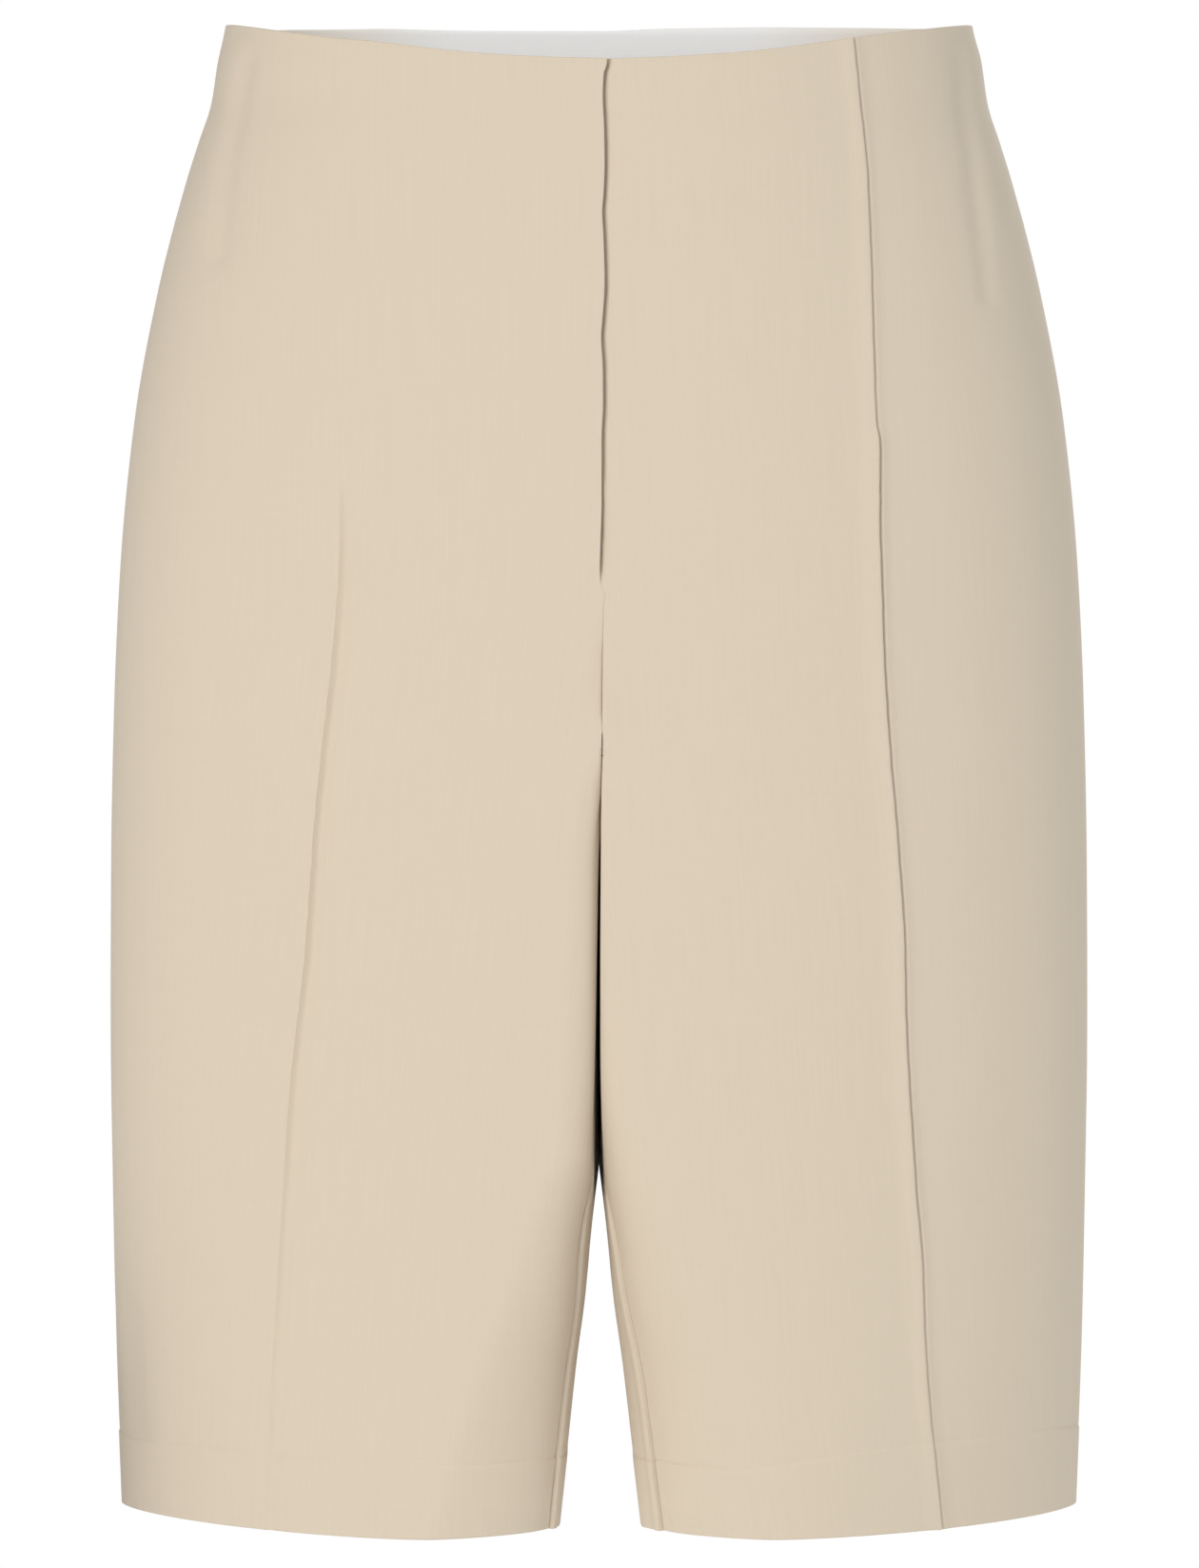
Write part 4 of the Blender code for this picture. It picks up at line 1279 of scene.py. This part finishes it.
def block(centre, size, rounding):
    """A rounded block as a mesh: a box with bevelled edges."""
    corners = [(x, y, z) for x in (-1, 1) for y in (-1, 1) for z in (-1, 1)]
    points = [tuple(c * s / 2 * MM for c, s in zip(corner, size)) for corner in corners]
    faces = [(0, 1, 3, 2), (4, 6, 7, 5), (0, 4, 5, 1), (2, 3, 7, 6), (0, 2, 6, 4), (1, 5, 7, 3)]
    mesh = bpy.data.meshes.new("block")
    mesh.from_pydata(points, [], faces)
    made = add_object("block", mesh)
    bevel = made.modifiers.new("edges", "BEVEL")
    bevel.width, bevel.segments = rounding * MM, 3
    return baked(made, centre)


def wire(points, radius):
    """A round bent wire through points in mm, with closed ends."""
    made = bpy.data.curves.new("wire", "CURVE")
    made.dimensions, made.bevel_depth, made.bevel_resolution, made.use_fill_caps = "3D", radius * MM, 3, True
    spline = made.splines.new("POLY")
    spline.points.add(len(points) - 1)
    for point, place in zip(spline.points, points):
        point.co = (*[c * MM for c in place], 1)
    return baked(add_object("wire", made))


def join_pieces(name, meshes, finish):
    """One piece from several meshes."""
    points, faces = [], []
    for mesh in meshes:
        first = len(points)
        points += [tuple(v.co) for v in mesh.vertices]
        faces += [[first + i for i in polygon.vertices] for polygon in mesh.polygons]
    joined = bpy.data.meshes.new(name)
    joined.from_pydata(points, [], faces)
    joined.materials.append(finish)
    return finished(name, joined, METAL_SHARP)


SLIDER_DROP, SLIDER_HIGH = 27.6, 1.35
slider_at = np.array(front_point(TEETH_X, SLIDER_DROP, ON_GUARD - SLIDER_HIGH))
slider_parts = [
    block(slider_at + (0, 0.95, 0), (7.4, 0.6, 6.6), 0.25),
    block(slider_at + (0, -0.45, 0), (7.0, 0.6, 6.2), 0.25),
    block(slider_at + (0, 0.25, 0), (1.6, 1.2, 3.0), 0.3),
    block(slider_at + (0, -0.95, 2.2), (1.6, 0.7, 1.4), 0.3),
    block(slider_at + (0, -0.95, -1.6), (3.0, 0.5, 3.0), 0.24),
]
slider = join_pieces("slider_fly", slider_parts, nickel)
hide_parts("zip_slider")

HOOK_AT, HOOK_CLEAR, HOOK_THICK = (-33.5, 25.3), 0.35, 0.5
hook_at = np.array(front_point(*HOOK_AT, WALL + HOOK_CLEAR + HOOK_THICK))
hook_parts = [
    block(hook_at, (10.4, HOOK_THICK, 7.4), 0.22),
    block(hook_at + (-3.0, 0.36, 0), (3.6, 0.28, 5.0), 0.13),
    block(hook_at + (4.3, 0.3, 0), (1.6, 0.5, 5.4), 0.2),
]
hook = join_pieces("hook_waist", hook_parts, nickel)
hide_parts("waist_hook")
BAR_HIGH = 0.5
bar_at = np.array(front_point(*HOOK_AT, ON_GUARD - BAR_HIGH))
upper_bend = ((-3.6, 0, 3.0), (2.4, 0, 3.0), (3.6, 0, 2.2))
bend = (*upper_bend, (3.9, -0.15, 0), *((x, y, -z) for x, y, z in upper_bend[::-1]))
bar_wire = wire([bar_at + place for place in bend], 0.42)
bar_parts = [bar_wire, block(bar_at + (-3.8, 0.1, 0), (1.6, 0.6, 7.0), 0.25)]
bar = join_pieces("bar_waist", bar_parts, nickel)
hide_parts("waist_bar")
print("hardware faces:", [len(p.data.polygons) for p in (slider, hook, bar)])

# %% [markdown]
# Topstitching holds the fly's facing in a long J on the right front. Its thread is of nearly the cloth's
# colour and sinks into it, so almost nothing shows. The line is drawn on the outer skin, a little below it.

# %% Fly stitches
J_STITCH = (
    (-33.9, 16), (-33.9, 60), (-33.8, 120), (-33.8, 183.2), (-33.1, 188.6), (-31.4, 193.7),
    (-27.8, 199.6), (-22.6, 205.2), (-16.8, 209.8), (-10.3, 212.8), (-4.5, 212.6), (-0.6, 210.9),
)
STITCHES = (3.4, 1.3, 0.4, 0.3, 7)  # step, length, thickness, unevenness and seed
STITCH_SUNK = 0.12
LEAST_AWAY = 0.05  # keeps a point's weight finite where it lies right on a corner
SKIN_STEP = 2.0  # between the line's points on the skin


def on_panel(made, x, drop, above):
    """A point on a panel's outer skin, found by x and drop between the nearest four."""
    away = (np.abs(made["outer"][..., 0] - x) + np.abs(made["drop"] - drop)).reshape(-1)
    near = np.argsort(away)[:4]
    weights = 1 / (away[near] + LEAST_AWAY)
    y = (made["outer"].reshape(-1, 3)[near, 1] * weights).sum() / weights.sum()
    return np.array((x, y, -drop)) + made["out"].reshape(-1, 3)[near].mean(axis=0) * above


def along_skin(made, line, above):
    """A line of (x, drop) points laid on the outer skin."""
    xs, drops = np.array(line).T
    run = np.concatenate([[0.0], np.cumsum(np.hypot(np.diff(xs), np.diff(drops)))])
    at = np.arange(0, run[-1], SKIN_STEP)
    return [tuple(on_panel(made, np.interp(s, run, xs), np.interp(s, run, drops), above)) for s in at]


j_line = along_skin(plain["front", "right"], J_STITCH, -STITCH_SUNK)
stitches = add_along("stitches_fly", [j_line], *STITCHES, thread, "suiting")
print("fly stitches:", len(stitches.data.polygons), "faces")

# %% [markdown]
# The hem is sewn blind by machine. Only every few millimetres does a prick of thread catch the outside, so
# it shows as a row of faint dots and not as a line.

# %% Hem pricks
PRICKS = (8.5, 0.8, 0.34, 0.5, 11)  # step, length, thickness, unevenness and seed


def prick_line(made):
    """Where the hem's thread comes through a panel."""
    columns = np.arange(len(EDGE_STOPS), made["drop"].shape[1] - len(EDGE_STOPS))
    if made["panel"] == "front":
        columns = columns[(columns < FOLD_START) | (columns >= FOLD_START + len(fold))]
    stitched = hem_line[made["side"]](made["length"][:, columns])
    rows = np.abs(made["drop"][:, columns] - stitched).argmin(axis=0)
    return [tuple(point) for point in made["outer"][rows, columns]]


prick_lines = [prick_line(made) for made in plain.values()]
pricks = add_along("stitches_hem", prick_lines, *PRICKS, thread, "suiting")
print("hem pricks:", len(pricks.data.polygons) // 20)

# %% [markdown]
# Every sheet of cloth says how large it was cut. The panels were cut flat with their allowances, so each
# size is that of the paper pattern's box, and the area is that of the shape inside it.

# %% Flat sizes
FLAT = {
    # piece: width, length and area of the cut, in metres
    "cloth_front_right": (0.320, 0.575, 0.144),
    "cloth_front_left": (0.320, 0.575, 0.146),
    "cloth_back_right": (0.458, 0.600, 0.195),
    "cloth_back_left": (0.458, 0.600, 0.195),
    "turnup_right": (0.54, 0.030, 0.0160),
    "turnup_left": (0.54, 0.030, 0.0160),
    "facing_back": (0.40, 0.036, 0.0115),
    "guard_fly": (0.056, 0.190, 0.0105),
    "zip_tape": (0.011, 0.175, 0.0018),
}
print("sheets:", len(FLAT))
for name, (width, length, area) in FLAT.items():
    piece = bpy.data.objects[name]
